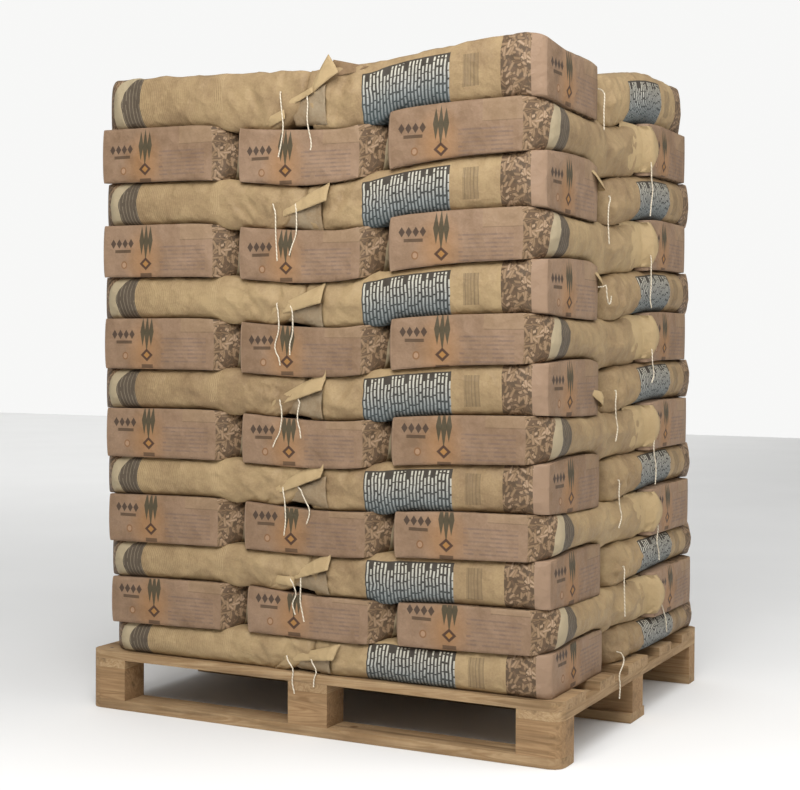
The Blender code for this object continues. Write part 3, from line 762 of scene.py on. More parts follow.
# Corners of each fold as (place along X, height): tail low, tip low, tip high, tail high. After them
# come how far the tip and the low edge stand out, in metres, and the kraft it is drawn in: outside is
# a lighter copy as painted light, inside the greyer inside ply darkened as painted shade, and shaded a
# dark copy as painted shade.
FRONT_FOLDS = {
    13: (((-0.070, 1.390), (0.010, 1.420), (0.006, 1.434), (-0.070, 1.404), 0.009, 0.004, "outside"),
         ((-0.006, 1.414), (0.076, 1.458), (0.044, 1.502), (-0.012, 1.438), 0.017, 0.004, "outside"),
         ((-0.036, 1.352), (0.040, 1.350), (0.040, 1.436), (-0.042, 1.404), 0.007, 0.003, "inside"),
         ((-0.128, 1.346), (-0.062, 1.368), (-0.066, 1.388), (-0.122, 1.372), 0.008, 0.006, "outside"),
         ((0.040, 1.452), (0.108, 1.458), (0.138, 1.470), (0.058, 1.490), 0.003, 0.002, "shaded")),
    11: (((-0.080, 1.150), (0.053, 1.181), (0.049, 1.223), (-0.076, 1.168), 0.016, 0.007, "outside"),
         ((-0.064, 1.130), (0.031, 1.112), (0.031, 1.184), (-0.080, 1.158), 0.007, 0.004, "inside")),
    9: (((-0.086, 0.934), (0.040, 0.959), (0.040, 1.004), (-0.080, 0.956), 0.016, 0.007, "outside"),
        ((-0.050, 0.918), (0.031, 0.9045), (0.034, 0.960), (-0.062, 0.942), 0.007, 0.004, "inside")),
    7: (((-0.084, 0.732), (0.042, 0.769), (0.042, 0.816), (-0.078, 0.752), 0.016, 0.007, "outside"),
        ((-0.050, 0.713), (0.033, 0.703), (0.036, 0.772), (-0.060, 0.740), 0.007, 0.004, "inside")),
    5: (((-0.084, 0.534), (0.038, 0.577), (0.036, 0.625), (-0.078, 0.554), 0.016, 0.007, "outside"),
        ((-0.040, 0.518), (0.049, 0.509), (0.045, 0.580), (-0.054, 0.544), 0.007, 0.004, "inside")),
    3: (((-0.054, 0.340), (0.061, 0.376), (0.055, 0.414), (-0.050, 0.358), 0.016, 0.007, "outside"),
        ((-0.010, 0.324), (0.053, 0.317), (0.048, 0.370), (-0.049, 0.345), 0.007, 0.004, "inside"),
        ((-0.090, 0.332), (-0.036, 0.330), (-0.034, 0.352), (-0.086, 0.352), 0.007, 0.005, "outside")),
    1: (((-0.050, 0.160), (0.074, 0.178), (0.083, 0.212), (-0.046, 0.176), 0.014, 0.006, "outside"),
        ((-0.015, 0.143), (0.057, 0.143), (0.057, 0.178), (-0.051, 0.166), 0.007, 0.004, "inside")),
}
# The same on the right side, as (place along Y, height)
SIDE_FOLDS = {
    11: (((-0.2304, 1.268), (-0.1624, 1.214), (-0.1353, 1.219), (-0.2044, 1.276), 0.015, 0.004, "outside"),),
    9: (((-0.2037, 1.049), (-0.1442, 0.980), (-0.1262, 0.986), (-0.184, 1.058), 0.015, 0.004, "outside"),),
    7: (((-0.2144, 0.763), (-0.160, 0.732), (-0.1268, 0.762), (-0.206, 0.774), 0.015, 0.004, "outside"),),
}
# Bill: the whole folded end of an even layer's right cross sack laps over the sack behind it, with a
# blunt point. Corners as (place along Y, share of the layer's height), in the same order. It is drawn
# in the lighter fold colour, as painted light.
BILL = ((0.030, 0.03), (0.138, 0.10), (0.142, 0.97), (0.030, 0.97), 0.015, 0.0, "plain")
BILL_POINT = 0.028
BILL_SUNK = 0.0080
BILL_WALL = (0.57, 0.1)
FOLD_SUNK = 0.0030
FOLD_TAIL = 0.15
FOLD_THICKNESS = 0.0008
FOLD_STEPS = 16
FOLD_ROWS = 8
FOLD_LEAN = 0.0015
FOLD_BELLY = 0.0030
FOLD_RIPPLE = 0.0007
ROUND_EDGE = 0.024


def wall_place(layer, along, z, axis):
    """Depth of a layer's wall at a height: rounded above and below, like the sacks' sides."""
    wall = wall_depth(layer, along, axis, -1 if axis else 1)
    x, y = (along, -wall) if axis else (wall, along)
    low = float(surface(layer - 1, x, y))
    high = float(surface(layer, x, y))
    level = min(max((z - low) / (high - low), 0.04), 0.96)
    return wall - ROUND_EDGE * (1 - math.sqrt(max(1 - (2 * level - 1) ** 2, 0)))


def bill_fold(layer):
    """The bill of one layer, with heights worked out from where the layer lies at the right side."""
    low = float(surface(layer - 1, *BILL_WALL))
    high = float(surface(layer, *BILL_WALL))
    *corners, lift, lip, side = BILL
    return *((place, low + share * (high - low)) for place, share in corners), lift, lip, side


def add_mesh(name, points, faces, material, smooth):
    """An object with one mesh whose faces are all turned outwards."""
    mesh = bpy.data.meshes.new(name)
    mesh.from_pydata(points, [], faces)
    bm = bmesh.new()
    bm.from_mesh(mesh)
    bmesh.ops.recalc_face_normals(bm, faces=bm.faces)
    bm.to_mesh(mesh)
    bm.free()
    mesh.polygons.foreach_set("use_smooth", [smooth] * len(mesh.polygons))
    mesh.materials.append(material)
    made = bpy.data.objects.new(name, mesh)
    bpy.context.collection.objects.link(made)
    return made


def build_fold(name, layer, fold, axis, papers, rng, sunk, point):
    """One folded flap: its sunk tail comes out of the wall and its tip and low edge stand free."""
    tail_low, tip_low, tip_high, tail_high, lift, lip, kraft_by_light = fold
    lean = rng.uniform(-FOLD_LEAN, FOLD_LEAN)
    phase = rng.uniform(0, 2 * math.pi)
    outer = []
    for i in range(FOLD_STEPS + 1):
        t = (1 + FOLD_TAIL) * i / FOLD_STEPS - FOLD_TAIL
        rise = max(t, 0.0)
        low = [tail + (tip - tail) * t for tail, tip in zip(tail_low, tip_low)]
        high = [tail + (tip - tail) * t for tail, tip in zip(tail_high, tip_high)]
        for j in range(FOLD_ROWS + 1):
            u = j / FOLD_ROWS
            along = low[0] + (high[0] - low[0]) * u + point * rise * math.sin(math.pi * u) ** 1.5
            z = low[1] + (high[1] - low[1]) * u
            depth = wall_place(layer, along, z, axis) - sunk + (sunk + lift) * rise ** 0.7
            depth += lip * (1 - u) ** 2 * math.sqrt(rise)
            depth += FOLD_BELLY * math.sin(math.pi * u) * math.sin(math.pi * rise)
            depth += FOLD_RIPPLE * math.sin(9 * t + 3 * u + phase) + lean * (u - 0.5)
            outer.append((along, depth, z))
    spots = [(along, -depth - shift, z) if axis else (depth + shift, along, z)
             for shift in (0, FOLD_THICKNESS) for along, depth, z in outer]
    count = FOLD_ROWS + 1
    back = (FOLD_STEPS + 1) * count
    faces = []
    for i in range(FOLD_STEPS):
        for j in range(FOLD_ROWS):
            a, b = i * count + j, (i + 1) * count + j
            faces.append((a, a + 1, b + 1, b))
            faces.append((back + b, back + b + 1, back + a + 1, back + a))
    edge = list(range(count))
    edge += [i * count + FOLD_ROWS for i in range(1, FOLD_STEPS + 1)]
    edge += [FOLD_STEPS * count + j for j in range(FOLD_ROWS - 1, -1, -1)]
    edge += [i * count for i in range(FOLD_STEPS - 1, 0, -1)]
    for near, far in zip(edge, edge[1:] + edge[:1]):
        faces.append((far, near, back + near, back + far))
    # Each fold's kraft is a lighter copy as painted light, or a darker one as painted shade, as its table
    # gives.
    return add_mesh(name, spots, faces, papers[kraft_by_light], True)


# Nails

NAIL_HEAD_RADIUS = 0.0042
NAIL_HEAD_RISE = 0.0007
NAIL_DEPTH = 0.0030
NAIL_SIDES = 16
NAIL_COLUMNS = (-0.55, 0.0, 0.55)
NAIL_SPREAD = 0.27
NAIL_STAGGER = 0.010
NAIL_DRIFT = 0.006

# From the middle of the head to the point: share of the head's radius, and rise above the wood
NAIL_PROFILE = ((0.0, NAIL_HEAD_RISE), (0.6, NAIL_HEAD_RISE * 0.9), (0.92, NAIL_HEAD_RISE * 0.55),
                (1.0, NAIL_HEAD_RISE * 0.1), (1.0, -0.0004), (0.34, -0.0006), (0.34, -NAIL_DEPTH),
                (0.0, -NAIL_DEPTH - 0.001))


def nail_spots(solids, wood):
    """Two nails wherever a board of one kind crosses a board or block of another kind."""
    spots = []
    for name, solid in solids.items():
        if not name.startswith(wood):
            continue
        corners = [solid.matrix_world @ Vector(corner) for corner in solid.bound_box]
        low = Vector([min(corner[k] for corner in corners) for k in range(3)])
        high = Vector([max(corner[k] for corner in corners) for k in range(3)])
        for number, x in enumerate(NAIL_COLUMNS):
            for side in (-1, 1):
                y = (low.y + high.y) / 2 + side * NAIL_SPREAD * (high.y - low.y)
                drift = NAIL_DRIFT * math.sin(7.1 * x + 31 * y + side + number)
                spots.append((x + drift + NAIL_STAGGER * side, y, high.z if wood == "deck" else low.z))
    return spots


def build_nails(name, spots, way, steel):
    """Round steel nail heads, slightly domed, driven almost flush; way is 1 upwards, -1 downwards."""
    points = []
    faces = []
    rings = len(NAIL_PROFILE) - 2
    for x, y, z in spots:
        start = len(points)
        points.append((x, y, z + way * NAIL_PROFILE[0][1]))
        for share, rise in NAIL_PROFILE[1:-1]:
            for step in range(NAIL_SIDES):
                angle = 2 * math.pi * step / NAIL_SIDES
                radius = share * NAIL_HEAD_RADIUS
                points.append((x + radius * math.cos(angle), y + radius * math.sin(angle), z + way * rise))
        points.append((x, y, z + way * NAIL_PROFILE[-1][1]))
        for step in range(NAIL_SIDES):
            following = (step + 1) % NAIL_SIDES
            faces.append((start, start + 1 + step, start + 1 + following))
            for ring in range(rings - 1):
                near = start + 1 + ring * NAIL_SIDES
                far = near + NAIL_SIDES
                faces.append((near + step, far + step, far + following, near + following))
            last_ring = start + 1 + (rings - 1) * NAIL_SIDES
            faces.append((last_ring + step, last_ring + NAIL_SIDES, last_ring + following))
    return add_mesh(name, points, faces, steel, False)


# Materials

def linear(code):
    """Linear colour, with alpha, of an sRGB hex value."""
    parts = [int(code[place:place + 2], 16) / 255 for place in (1, 3, 5)]
    return (*(part / 12.92 if part <= 0.04045 else ((part + 0.055) / 1.055) ** 2.4 for part in parts), 1.0)


def paint(colour):
    """Shader colour of an sRGB hex value or of a colour setting."""
    return linear(colour) if isinstance(colour, str) else (*colour, 1.0)


def fill_ramp(ramp, stops):
    """Colours along a ramp; each stop is a position and a colour."""
    while len(ramp.elements) < len(stops):
        ramp.elements.new(1.0)
    for element, (place, colour) in zip(ramp.elements, stops):
        element.position = place
        element.color = paint(colour)


def add_node(tree, kind, inputs=(), output=0, stops=None, **settings):
    """Add a node, set its properties, set or link its inputs, and hand back one of its outputs."""
    node = tree.nodes.new(f"ShaderNode{kind}")
    for key, value in settings.items():
        setattr(node, key, value)
    if stops:
        fill_ramp(node.color_ramp, stops)
    for key, value in inputs.items() if isinstance(inputs, dict) else enumerate(inputs):
        if isinstance(value, bpy.types.NodeSocket):
            tree.links.new(value, node.inputs[key])
        else:
            node.inputs[key].default_value = value
    return node.outputs[output] if node.outputs else None


def new_material(name):
    """An empty material and its node tree."""
    material = bpy.data.materials.new(name)
    material.use_nodes = True
    material.node_tree.nodes.clear()
    return material, material.node_tree


def shade(tree, inputs):
    """Give the material its shader, with values that are even all over it or linked."""
    add_node(tree, "OutputMaterial", {"Surface": add_node(tree, "BsdfPrincipled", inputs)})


def lay_over(tree, ground, coats):
    """Prints laid over a ground one after the other; each is its share, 0 to 1, and its colour."""
    for share, colour in coats:
        ground = add_node(tree, "Mix", {"Factor": share, 6: ground, 7: colour}, 2, data_type="RGBA")
    return ground


def work_out(tree, *rows):
    """One result for each row of an operation and its values."""
    return [add_node(tree, "Math", values, operation=operation) for operation, *values in rows]


def all_of(tree, *shares):
    """Share where several masks hold at once."""
    whole = shares[0]
    for share in shares[1:]:
        whole, = work_out(tree, ("MULTIPLY", whole, share))
    return whole


def cell_chance(tree, column, row):
    """A random number, 0 to 1, for each cell of a grid."""
    cell = add_node(tree, "CombineXYZ", (column, row))
    return add_node(tree, "TexWhiteNoise", {"Vector": cell}, noise_dimensions="2D")


def paper_places(tree):
    """Places on the printed web: distance from the base, and around the sack, with its slight drift."""
    web = add_node(tree, "UVMap", uv_map="print")
    drift = add_node(tree, "TexNoise", {"Vector": web, "Scale": 9.0, "Detail": 1.0})
    straight = add_node(tree, "SeparateXYZ", [web])
    shift, = work_out(tree, ("MULTIPLY_ADD", drift, 0.006, -0.003))
    along, = work_out(tree, ("ADD", straight, shift))
    return web, along, straight.node.outputs["Y"]


def kraft_ground(tree, colour, dark):
    """Sack kraft: short fibres clump in clouds a few centimetres wide; each sack has its own tone."""
    spot = add_node(tree, "TexCoord", output="Object")
    clouds = add_node(tree, "TexNoise", {"Vector": spot, "Scale": 14.0, "Detail": 6.0, "Roughness": 0.62})
    fibres = add_node(tree, "TexNoise", {"Vector": spot, "Scale": 240.0, "Detail": 2.0})
    mixed, = work_out(tree, ("MULTIPLY_ADD", fibres, 0.30, clouds))
    tone = add_node(tree, "Attribute", output="Fac", attribute_name="tone")
    lifted, = work_out(tree, ("MULTIPLY_ADD", tone, 0.10, mixed))
    share = add_node(tree, "MapRange", {"Value": lifted, "From Min": 0.42, "From Max": 0.86})
    return lay_over(tree, paint(dark), [(share, paint(colour))]), spot


def paper_relief(tree, spot):
    """Crumpled kraft: long creases 20 to 40 mm apart over finer crackle, and a soft uneven sheen."""
    bent = add_node(tree, "TexNoise", {"Vector": spot, "Scale": 9.0, "Detail": 2.0}, "Color")
    pushed = add_node(tree, "VectorMath", (bent, (0.05, 0.05, 0.05), spot), operation="MULTIPLY_ADD")
    creases = []
    for scale, seed in ((17.0, 0.0), (41.0, 5.3)):
        moved = add_node(tree, "VectorMath", (pushed, (seed, seed, seed)), operation="ADD")
        creases.append(add_node(tree, "TexVoronoi", {"Vector": moved, "Scale": scale, "Randomness": 1.0}))
    crackle = add_node(tree, "TexNoise", {"Vector": spot, "Scale": 70.0, "Detail": 4.0, "Roughness": 0.55,
                                          "Distortion": 0.6})
    large, = work_out(tree, ("MULTIPLY_ADD", creases[1], 0.40, creases[0]))
    total, = work_out(tree, ("MULTIPLY_ADD", crackle, 0.30, large))
    return {"Normal": add_node(tree, "Bump", {"Strength": 0.95, "Distance": 0.0065, "Height": total}),
            "Roughness": add_node(tree, "MapRange", {"Value": crackle, "To Min": 0.50, "To Max": 0.74})}


def pellet_print(tree, web):
    """Printed picture of heaped wood pellets: rods 6 mm thick and 24 mm long at all angles."""
    coats = []
    for seed, kept in ((3.17, 1.0), (7.71, 0.85), (12.43, 0.7), (21.97, 0.55)):
        moved = add_node(tree, "VectorMath", (web, (seed, seed / 2, 0)), operation="ADD")
        cells = add_node(tree, "TexVoronoi", {"Vector": moved, "Scale": 1 / 0.0155, "Randomness": 0.9},
                         voronoi_dimensions="2D").node.outputs
        offset = add_node(tree, "VectorMath", (moved, cells["Position"]), operation="SUBTRACT")
        random = add_node(tree, "SeparateColor", [cells["Color"]]).node.outputs
        angle, = work_out(tree, ("MULTIPLY", random["Red"], math.pi))
        turned = add_node(tree, "VectorRotate", {"Vector": offset, "Angle": angle}, rotation_type="Z_AXIS")
        scaled = add_node(tree, "VectorMath", (turned, (1 / 0.012, 1 / 0.0032, 0)), operation="MULTIPLY")
        sized = add_node(tree, "VectorMath", [scaled], operation="ABSOLUTE")
        split = add_node(tree, "SeparateXYZ", [sized]).node.outputs
        edge, rounding = work_out(tree, ("MAXIMUM", split["X"], split["Y"]),
                                  ("MULTIPLY_ADD", split["Y"], -0.45, random["Green"]))
        rod, chosen = work_out(tree, ("LESS_THAN", edge, 1.0), ("LESS_THAN", random["Blue"], kept))
        colour = add_node(tree, "ValToRGB", [rounding], stops=(
            (0.0, "#5f4b38"), (0.35, "#7d654a"), (0.75, "#957b60"), (1.0, "#ab937a")))
        coats.append((all_of(tree, rod, chosen), colour))
    return lay_over(tree, linear("#564533"), coats)


def text_columns(tree, along, around):
    """Block of small print: 25 columns 8.6 mm apart, drawn as dashes since letters are too fine."""
    column, = work_out(tree, ("DIVIDE", along, 0.0086))
    number, within = work_out(tree, ("FLOOR", column), ("FRACT", column))
    random = add_node(tree, "TexWhiteNoise", {"W": number}, noise_dimensions="1D")
    stepped, late = work_out(tree, ("MULTIPLY_ADD", around, 1 / 0.0185, random),
                             ("GREATER_THAN", random, 0.55))
    row, space, cap = work_out(tree, ("FLOOR", stepped), ("FRACT", stepped),
                               ("MULTIPLY_ADD", late, -0.016, 0.040))
    reach, = work_out(tree, ("MULTIPLY", cell_chance(tree, number, row), 0.26))
    dash = all_of(tree, *work_out(tree, ("GREATER_THAN", space, reach), ("COMPARE", within, 0.5, 0.24),
                                  ("LESS_THAN", around, cap)))
    depth = add_node(tree, "MapRange", {"Value": around, "From Min": -0.07, "From Max": 0.05})
    pale = add_node(tree, "ValToRGB", [depth], stops=(
        (0.0, "#62696b"), (0.35, "#8a8e8c"), (0.62, "#aaa89f"), (1.0, "#c6c0ac")))
    dark = add_node(tree, "ValToRGB", [depth], stops=(
        (0.0, "#3a4749"), (0.35, "#404443"), (0.65, "#3f3b35"), (1.0, "#40382e")))
    return lay_over(tree, dark, [(dash, pale)])


def text_paper(colours):
    """Printed sack kraft, text side: unbleached paper with an even satin from the printing."""
    material, tree = new_material("sack_kraft_text_side")
    web, along, around = paper_places(tree)
    ground, spot = kraft_ground(tree, colours.kraft, colours.shaded_kraft)
    picture, wrapped, bar = work_out(
        tree, ("LESS_THAN", along, 0.101), ("LESS_THAN", along, 0.035), ("DIVIDE", along, 0.0026))
    block = work_out(tree, ("COMPARE", along, 0.3245, 0.1065), ("LESS_THAN", around, 0.044))
    window = work_out(tree, ("COMPARE", along, 0.170, 0.018), ("COMPARE", around, 0.0, 0.034))
    number, = work_out(tree, ("FLOOR", bar))
    bars = add_node(tree, "TexWhiteNoise", {"W": number}, noise_dimensions="1D")
    strength = add_node(tree, "MapRange", {"Value": bars, "To Min": 0.30, "To Max": 0.85})
    colour = lay_over(tree, ground, (
        (picture, pellet_print(tree, web)),
        (wrapped, paint(colours.base)),
        (all_of(tree, *block), text_columns(tree, along, around)),
        (all_of(tree, *window, strength), linear("#6c5a42"))))
    shade(tree, {"Base Color": colour, "Specular IOR Level": 0.3, **paper_relief(tree, spot)})
    return material


def band_paper(colours):
    """Printed sack kraft, band side: unbleached paper with a cream and a dark band by the base."""
    material, tree = new_material("sack_kraft_band_side")
    web, along, around = paper_places(tree)
    ground, spot = kraft_ground(tree, colours.kraft, colours.shaded_kraft)

    # Faint lines of print, 5.2 mm apart, that fade out away from the base
    line, row, wide = work_out(tree, ("DIVIDE", along, 0.0052), ("MULTIPLY", around, 1 / 0.009),
                               ("DIVIDE", along, 0.0096))
    number, within, row_number, wide_within = work_out(
        tree, ("FLOOR", line), ("FRACT", line), ("FLOOR", row), ("FRACT", wide))
    chance = cell_chance(tree, number, row_number)
    written, stripe, streak = work_out(tree, ("LESS_THAN", chance, 0.85), ("LESS_THAN", within, 0.45),
                                       ("LESS_THAN", wide_within, 0.24))
    fade = add_node(tree, "MapRange", {"Value": along, "From Min": 0.15, "From Max": 0.40,
                                       "To Min": 0.34, "To Max": 0.0})

    # Painted highlights, in the lighter fold colour, on the ridges of the gathers where the paper is
    # drawn in towards the sewn end, on the upper part only
    slant, = work_out(tree, ("MULTIPLY_ADD", around, 0.10, along))
    gathers, = work_out(tree, ("PINGPONG", slant, 0.0026))
    on_lit_ridge, before_flap, high_up = work_out(
        tree, ("LESS_THAN", gathers, 0.0010), ("LESS_THAN", along, 0.378), ("GREATER_THAN", around, -0.030))
    ridge_highlight = add_node(tree, "MapRange", {"Value": along, "From Min": 0.345, "From Max": 0.362,
                                           "To Max": 0.55}, interpolation_type="SMOOTHSTEP")

    # Bands by the base, whose near edges run in an arc
    above, = work_out(tree, ("ADD", around, 0.010))
    upper, = work_out(tree, ("MAXIMUM", above, 0.0))
    arc, = work_out(tree, ("MULTIPLY_ADD", all_of(tree, upper, upper), -8.6, along))
    before_end, after_start, in_arc, near_base = work_out(
        tree, ("LESS_THAN", along, 0.148), ("GREATER_THAN", arc, 0.094), ("LESS_THAN", arc, 0.060),
        ("LESS_THAN", along, 0.105))
    lettered = lay_over(tree, linear("#53483b"), [(all_of(tree, streak, written, 0.40), linear("#94866f"))])

    colour = lay_over(tree, ground, (
        (all_of(tree, written, stripe, fade), linear("#6c5638")),
        # Painted highlights on the gathers' ridges
        (all_of(tree, on_lit_ridge, ridge_highlight, before_flap, high_up), paint(colours.fold)),
        (all_of(tree, before_end, 0.85), linear("#a6987c")),
        (all_of(tree, before_end, after_start), lettered),
        (all_of(tree, in_arc, near_base), pellet_print(tree, web))))
    shade(tree, {"Base Color": colour, "Specular IOR Level": 0.3, **paper_relief(tree, spot)})
    return material


# Generic marks on the flat base: place across, place up, half width, half height, shape, colour,
# strength, and how soft the edge is
BASE_MARKS = (
    (0.055, 0.044, 0.0400, 0.0560, "round", "#a0713f", 0.42, 0.55),
    (0.062, 0.088, 0.0070, 0.0340, "lozenge", "#413d2d", 0.90, 0.06),
    (0.050, 0.084, 0.0070, 0.0440, "lozenge", "#413d2d", 0.90, 0.06),
    (0.038, 0.088, 0.0070, 0.0340, "lozenge", "#413d2d", 0.90, 0.06),
    (0.050, 0.034, 0.0170, 0.0150, "lozenge", "#3e2a22", 0.90, 0.06),
    (0.050, 0.034, 0.0085, 0.0075, "lozenge", "#a07440", 0.90, 0.06),
    (0.144, 0.082, 0.0078, 0.0110, "lozenge", "#40332a", 0.90, 0.06),
    (0.127, 0.082, 0.0078, 0.0110, "lozenge", "#40332a", 0.90, 0.06),
    (0.110, 0.082, 0.0078, 0.0110, "lozenge", "#40332a", 0.90, 0.06),
    (0.093, 0.082, 0.0078, 0.0110, "lozenge", "#40332a", 0.90, 0.06),
    (0.116, 0.064, 0.0230, 0.0036, "square", "#4d3c2c", 0.85, 0.06),
    (0.112, 0.032, 0.0085, 0.0090, "round", "#7b5433", 0.80, 0.06),
    (0.112, 0.032, 0.0055, 0.0060, "round", "#9d7f64", 0.95, 0.06),
    (0.050, 0.008, 0.0160, 0.0045, "square", "#54402f", 0.85, 0.06),
)


def base_paper(colours):
    """Printed sack kraft, flat base: a dull brown sheet with a generic device in three colours."""
    material, tree = new_material("sack_kraft_base")
    web = add_node(tree, "UVMap", uv_map="print")
    across = add_node(tree, "SeparateXYZ", [web])
    up = across.node.outputs["Y"]
    ground, spot = kraft_ground(tree, colours.base, colours.shaded_base)
    # A faint lighter strip of plain kraft along the folded lip at the top is a painted highlight, and the
    # dark line of the crease under it is painted shade.
    folded, lip_highlight, crease_shade = work_out(
        tree, ("LESS_THAN", across, -0.045), ("GREATER_THAN", up, 0.088), ("COMPARE", up, 0.0875, 0.0010))
    coats = [(all_of(tree, lip_highlight, folded, 0.16), paint(colours.kraft)),
             (all_of(tree, crease_shade, folded, 0.40), linear("#5f4a36"))]
    for place_x, place_z, half_width, half_height, shape, ink, strength, soft in BASE_MARKS:
        far = add_node(tree, "VectorMath", (web, (place_x, place_z, 0)), operation="SUBTRACT")
        sized = add_node(tree, "VectorMath", (far, (1 / half_width, 1 / half_height, 0)),
                         operation="MULTIPLY")
        if shape == "round":
            reach = add_node(tree, "VectorMath", [sized], "Value", operation="LENGTH")
        else:
            positive = add_node(tree, "VectorMath", [sized], operation="ABSOLUTE")
            parts = add_node(tree, "SeparateXYZ", [positive]).node.outputs
            joining = "MAXIMUM" if shape == "square" else "ADD"
            reach, = work_out(tree, (joining, parts["X"], parts["Y"]))
        inside = add_node(tree, "MapRange", {"Value": reach, "From Min": 1 - soft, "From Max": 1 + soft,
                                             "To Min": strength, "To Max": 0.0})
        coats.append((inside, linear(ink)))

    # Lines of small print, 8.8 mm apart, beside the device
    line, word = work_out(tree, ("DIVIDE", up, 0.0088), ("DIVIDE", across, 0.0130))
    number, within, word_number = work_out(tree, ("FLOOR", line), ("FRACT", line), ("FLOOR", word))
    chance = cell_chance(tree, word_number, number)
    ruled = work_out(tree, ("COMPARE", across, -0.052, 0.062), ("COMPARE", up, 0.044, 0.031),
                     ("LESS_THAN", within, 0.42), ("MULTIPLY_ADD", chance, 0.40, 0.10))
    coats.append((all_of(tree, *ruled), linear("#62524f")))
    shade(tree, {"Base Color": lay_over(tree, ground, coats), "Specular IOR Level": 0.25,
                 **paper_relief(tree, spot)})
    return material


def flap_paper(name, colour, dark):
    """Plain sack kraft of the folded tops: unprinted, so a little rougher to the light. Its colours are lit
    and shaded copies of the kraft, as painted light and shade.
    """
    material, tree = new_material(name)
    ground, spot = kraft_ground(tree, colour, dark)
    shade(tree, {"Base Color": ground, "Specular IOR Level": 0.25, **paper_relief(tree, spot)})
    return material


def nail_steel():
    """Bare steel nail heads gone dull: dark, half rough, with rust in small patches."""
    material, tree = new_material("dull_nail_steel")
    spot = add_node(tree, "TexCoord", output="Object")
    rust = add_node(tree, "TexNoise", {"Vector": spot, "Scale": 400.0})
    colour = add_node(tree, "ValToRGB", [rust], stops=((0.35, "#77706a"), (0.65, "#5b4334")))
    rough = add_node(tree, "MapRange", {"Value": rust, "To Min": 0.35, "To Max": 0.75})
    shade(tree, {"Base Color": colour, "Metallic": 0.7, "Roughness": rough})
    return material


def pine(name, colour, dark, turn, seed):
    """Sawn pine: growth rings some 6 mm apart run along the board, with knots and a dry, woolly face."""
    material, tree = new_material(name)
    spot = add_node(tree, "TexCoord", output="Object")
    laid = add_node(tree, "Mapping", {"Vector": spot, "Rotation": turn,
                                      "Location": (seed, seed * 0.37, seed * 0.71)})
    stretched = add_node(tree, "Mapping", {"Vector": laid, "Scale": (0.06, 1.0, 1.0)})
    knots = add_node(tree, "TexVoronoi", {"Vector": laid, "Scale": 5.0, "Randomness": 1.0})
    near_knot, in_knot = [
        add_node(tree, "MapRange", {"Value": knots, "From Min": low, "From Max": high, "To Min": strength,
                                    "To Max": 0.0}, interpolation_type="SMOOTHSTEP")
        for low, high, strength in ((0.03, 0.24, 1.0), (0.030, 0.075, 0.85))]
    bent = add_node(tree, "TexNoise", {"Vector": stretched, "Scale": 9.0, "Detail": 2.0})
    pull, = work_out(tree, ("MULTIPLY_ADD", near_knot, 0.9, bent))
    grain = add_node(tree, "TexNoise", {"Vector": stretched, "W": pull, "Scale": 95.0, "Detail": 3.0,
                                        "Roughness": 0.5, "Distortion": 0.4}, noise_dimensions="4D")
    rings = add_node(tree, "MapRange", {"Value": grain, "From Min": 0.35, "From Max": 0.66})
    stain = add_node(tree, "TexNoise", {"Vector": laid, "Scale": 7.0, "Detail": 5.0, "Roughness": 0.65})
    patch = add_node(tree, "MapRange", {"Value": stain, "From Min": 0.38, "From Max": 0.70, "To Max": 0.70})
    scuff = add_node(tree, "TexNoise", {"Vector": stretched, "Scale": 26.0, "Detail": 3.0, "Roughness": 0.7})
    dirt = add_node(tree, "MapRange", {"Value": scuff, "From Min": 0.53, "From Max": 0.70, "To Max": 0.65})
    colour = lay_over(tree, paint(dark), (
        (rings, paint(colour)), (patch, linear("#85694a")), (dirt, linear("#5a452e")),
        (in_knot, linear("#5d4127"))))
    shade(tree, {"Base Color": colour, "Specular IOR Level": 0.25,
                 "Normal": add_node(tree, "Bump", {"Strength": 0.4, "Distance": 0.0012, "Height": grain}),
                 "Roughness": add_node(tree, "MapRange", {"Value": grain, "To Min": 0.68, "To Max": 0.88})})
    return material


def cotton(colour, dark):
    """Twisted cotton sewing thread: off-white, matt, with a lay of about 4 mm."""
    material, tree = new_material("cotton_thread")
    spot = add_node(tree, "TexCoord", output="Object")
    twist = add_node(tree, "TexWave", {"Vector": spot, "Scale": 80.0, "Distortion": 1.0}, "Fac",
                     bands_direction="DIAGONAL")
    # The furrows between the strands are painted shade, and the strands painted lit.
    colour = add_node(tree, "ValToRGB", [twist], stops=((0.0, dark), (1.0, colour)))
    relief = add_node(tree, "Bump", {"Strength": 0.5, "Distance": 0.0006, "Height": twist})
    shade(tree, {"Base Color": colour, "Roughness": 0.9, "Specular IOR Level": 0.2, "Sheen Weight": 0.15,
                 "Normal": relief})
    return material


def floor_paint():
    """Matt painted studio floor: a plain pale surface."""
    material, tree = new_material("pale_floor")
    spot = add_node(tree, "TexCoord", output="Object")
    cloud = add_node(tree, "TexNoise", {"Vector": spot, "Scale": 1.5})
    colour = add_node(tree, "ValToRGB", [cloud], stops=((0.0, "#e9e9e8"), (1.0, "#efefee")))
    shade(tree, {"Base Color": colour, "Roughness": 0.9, "Specular IOR Level": 0.1})
    return material


# Settings that a user may change

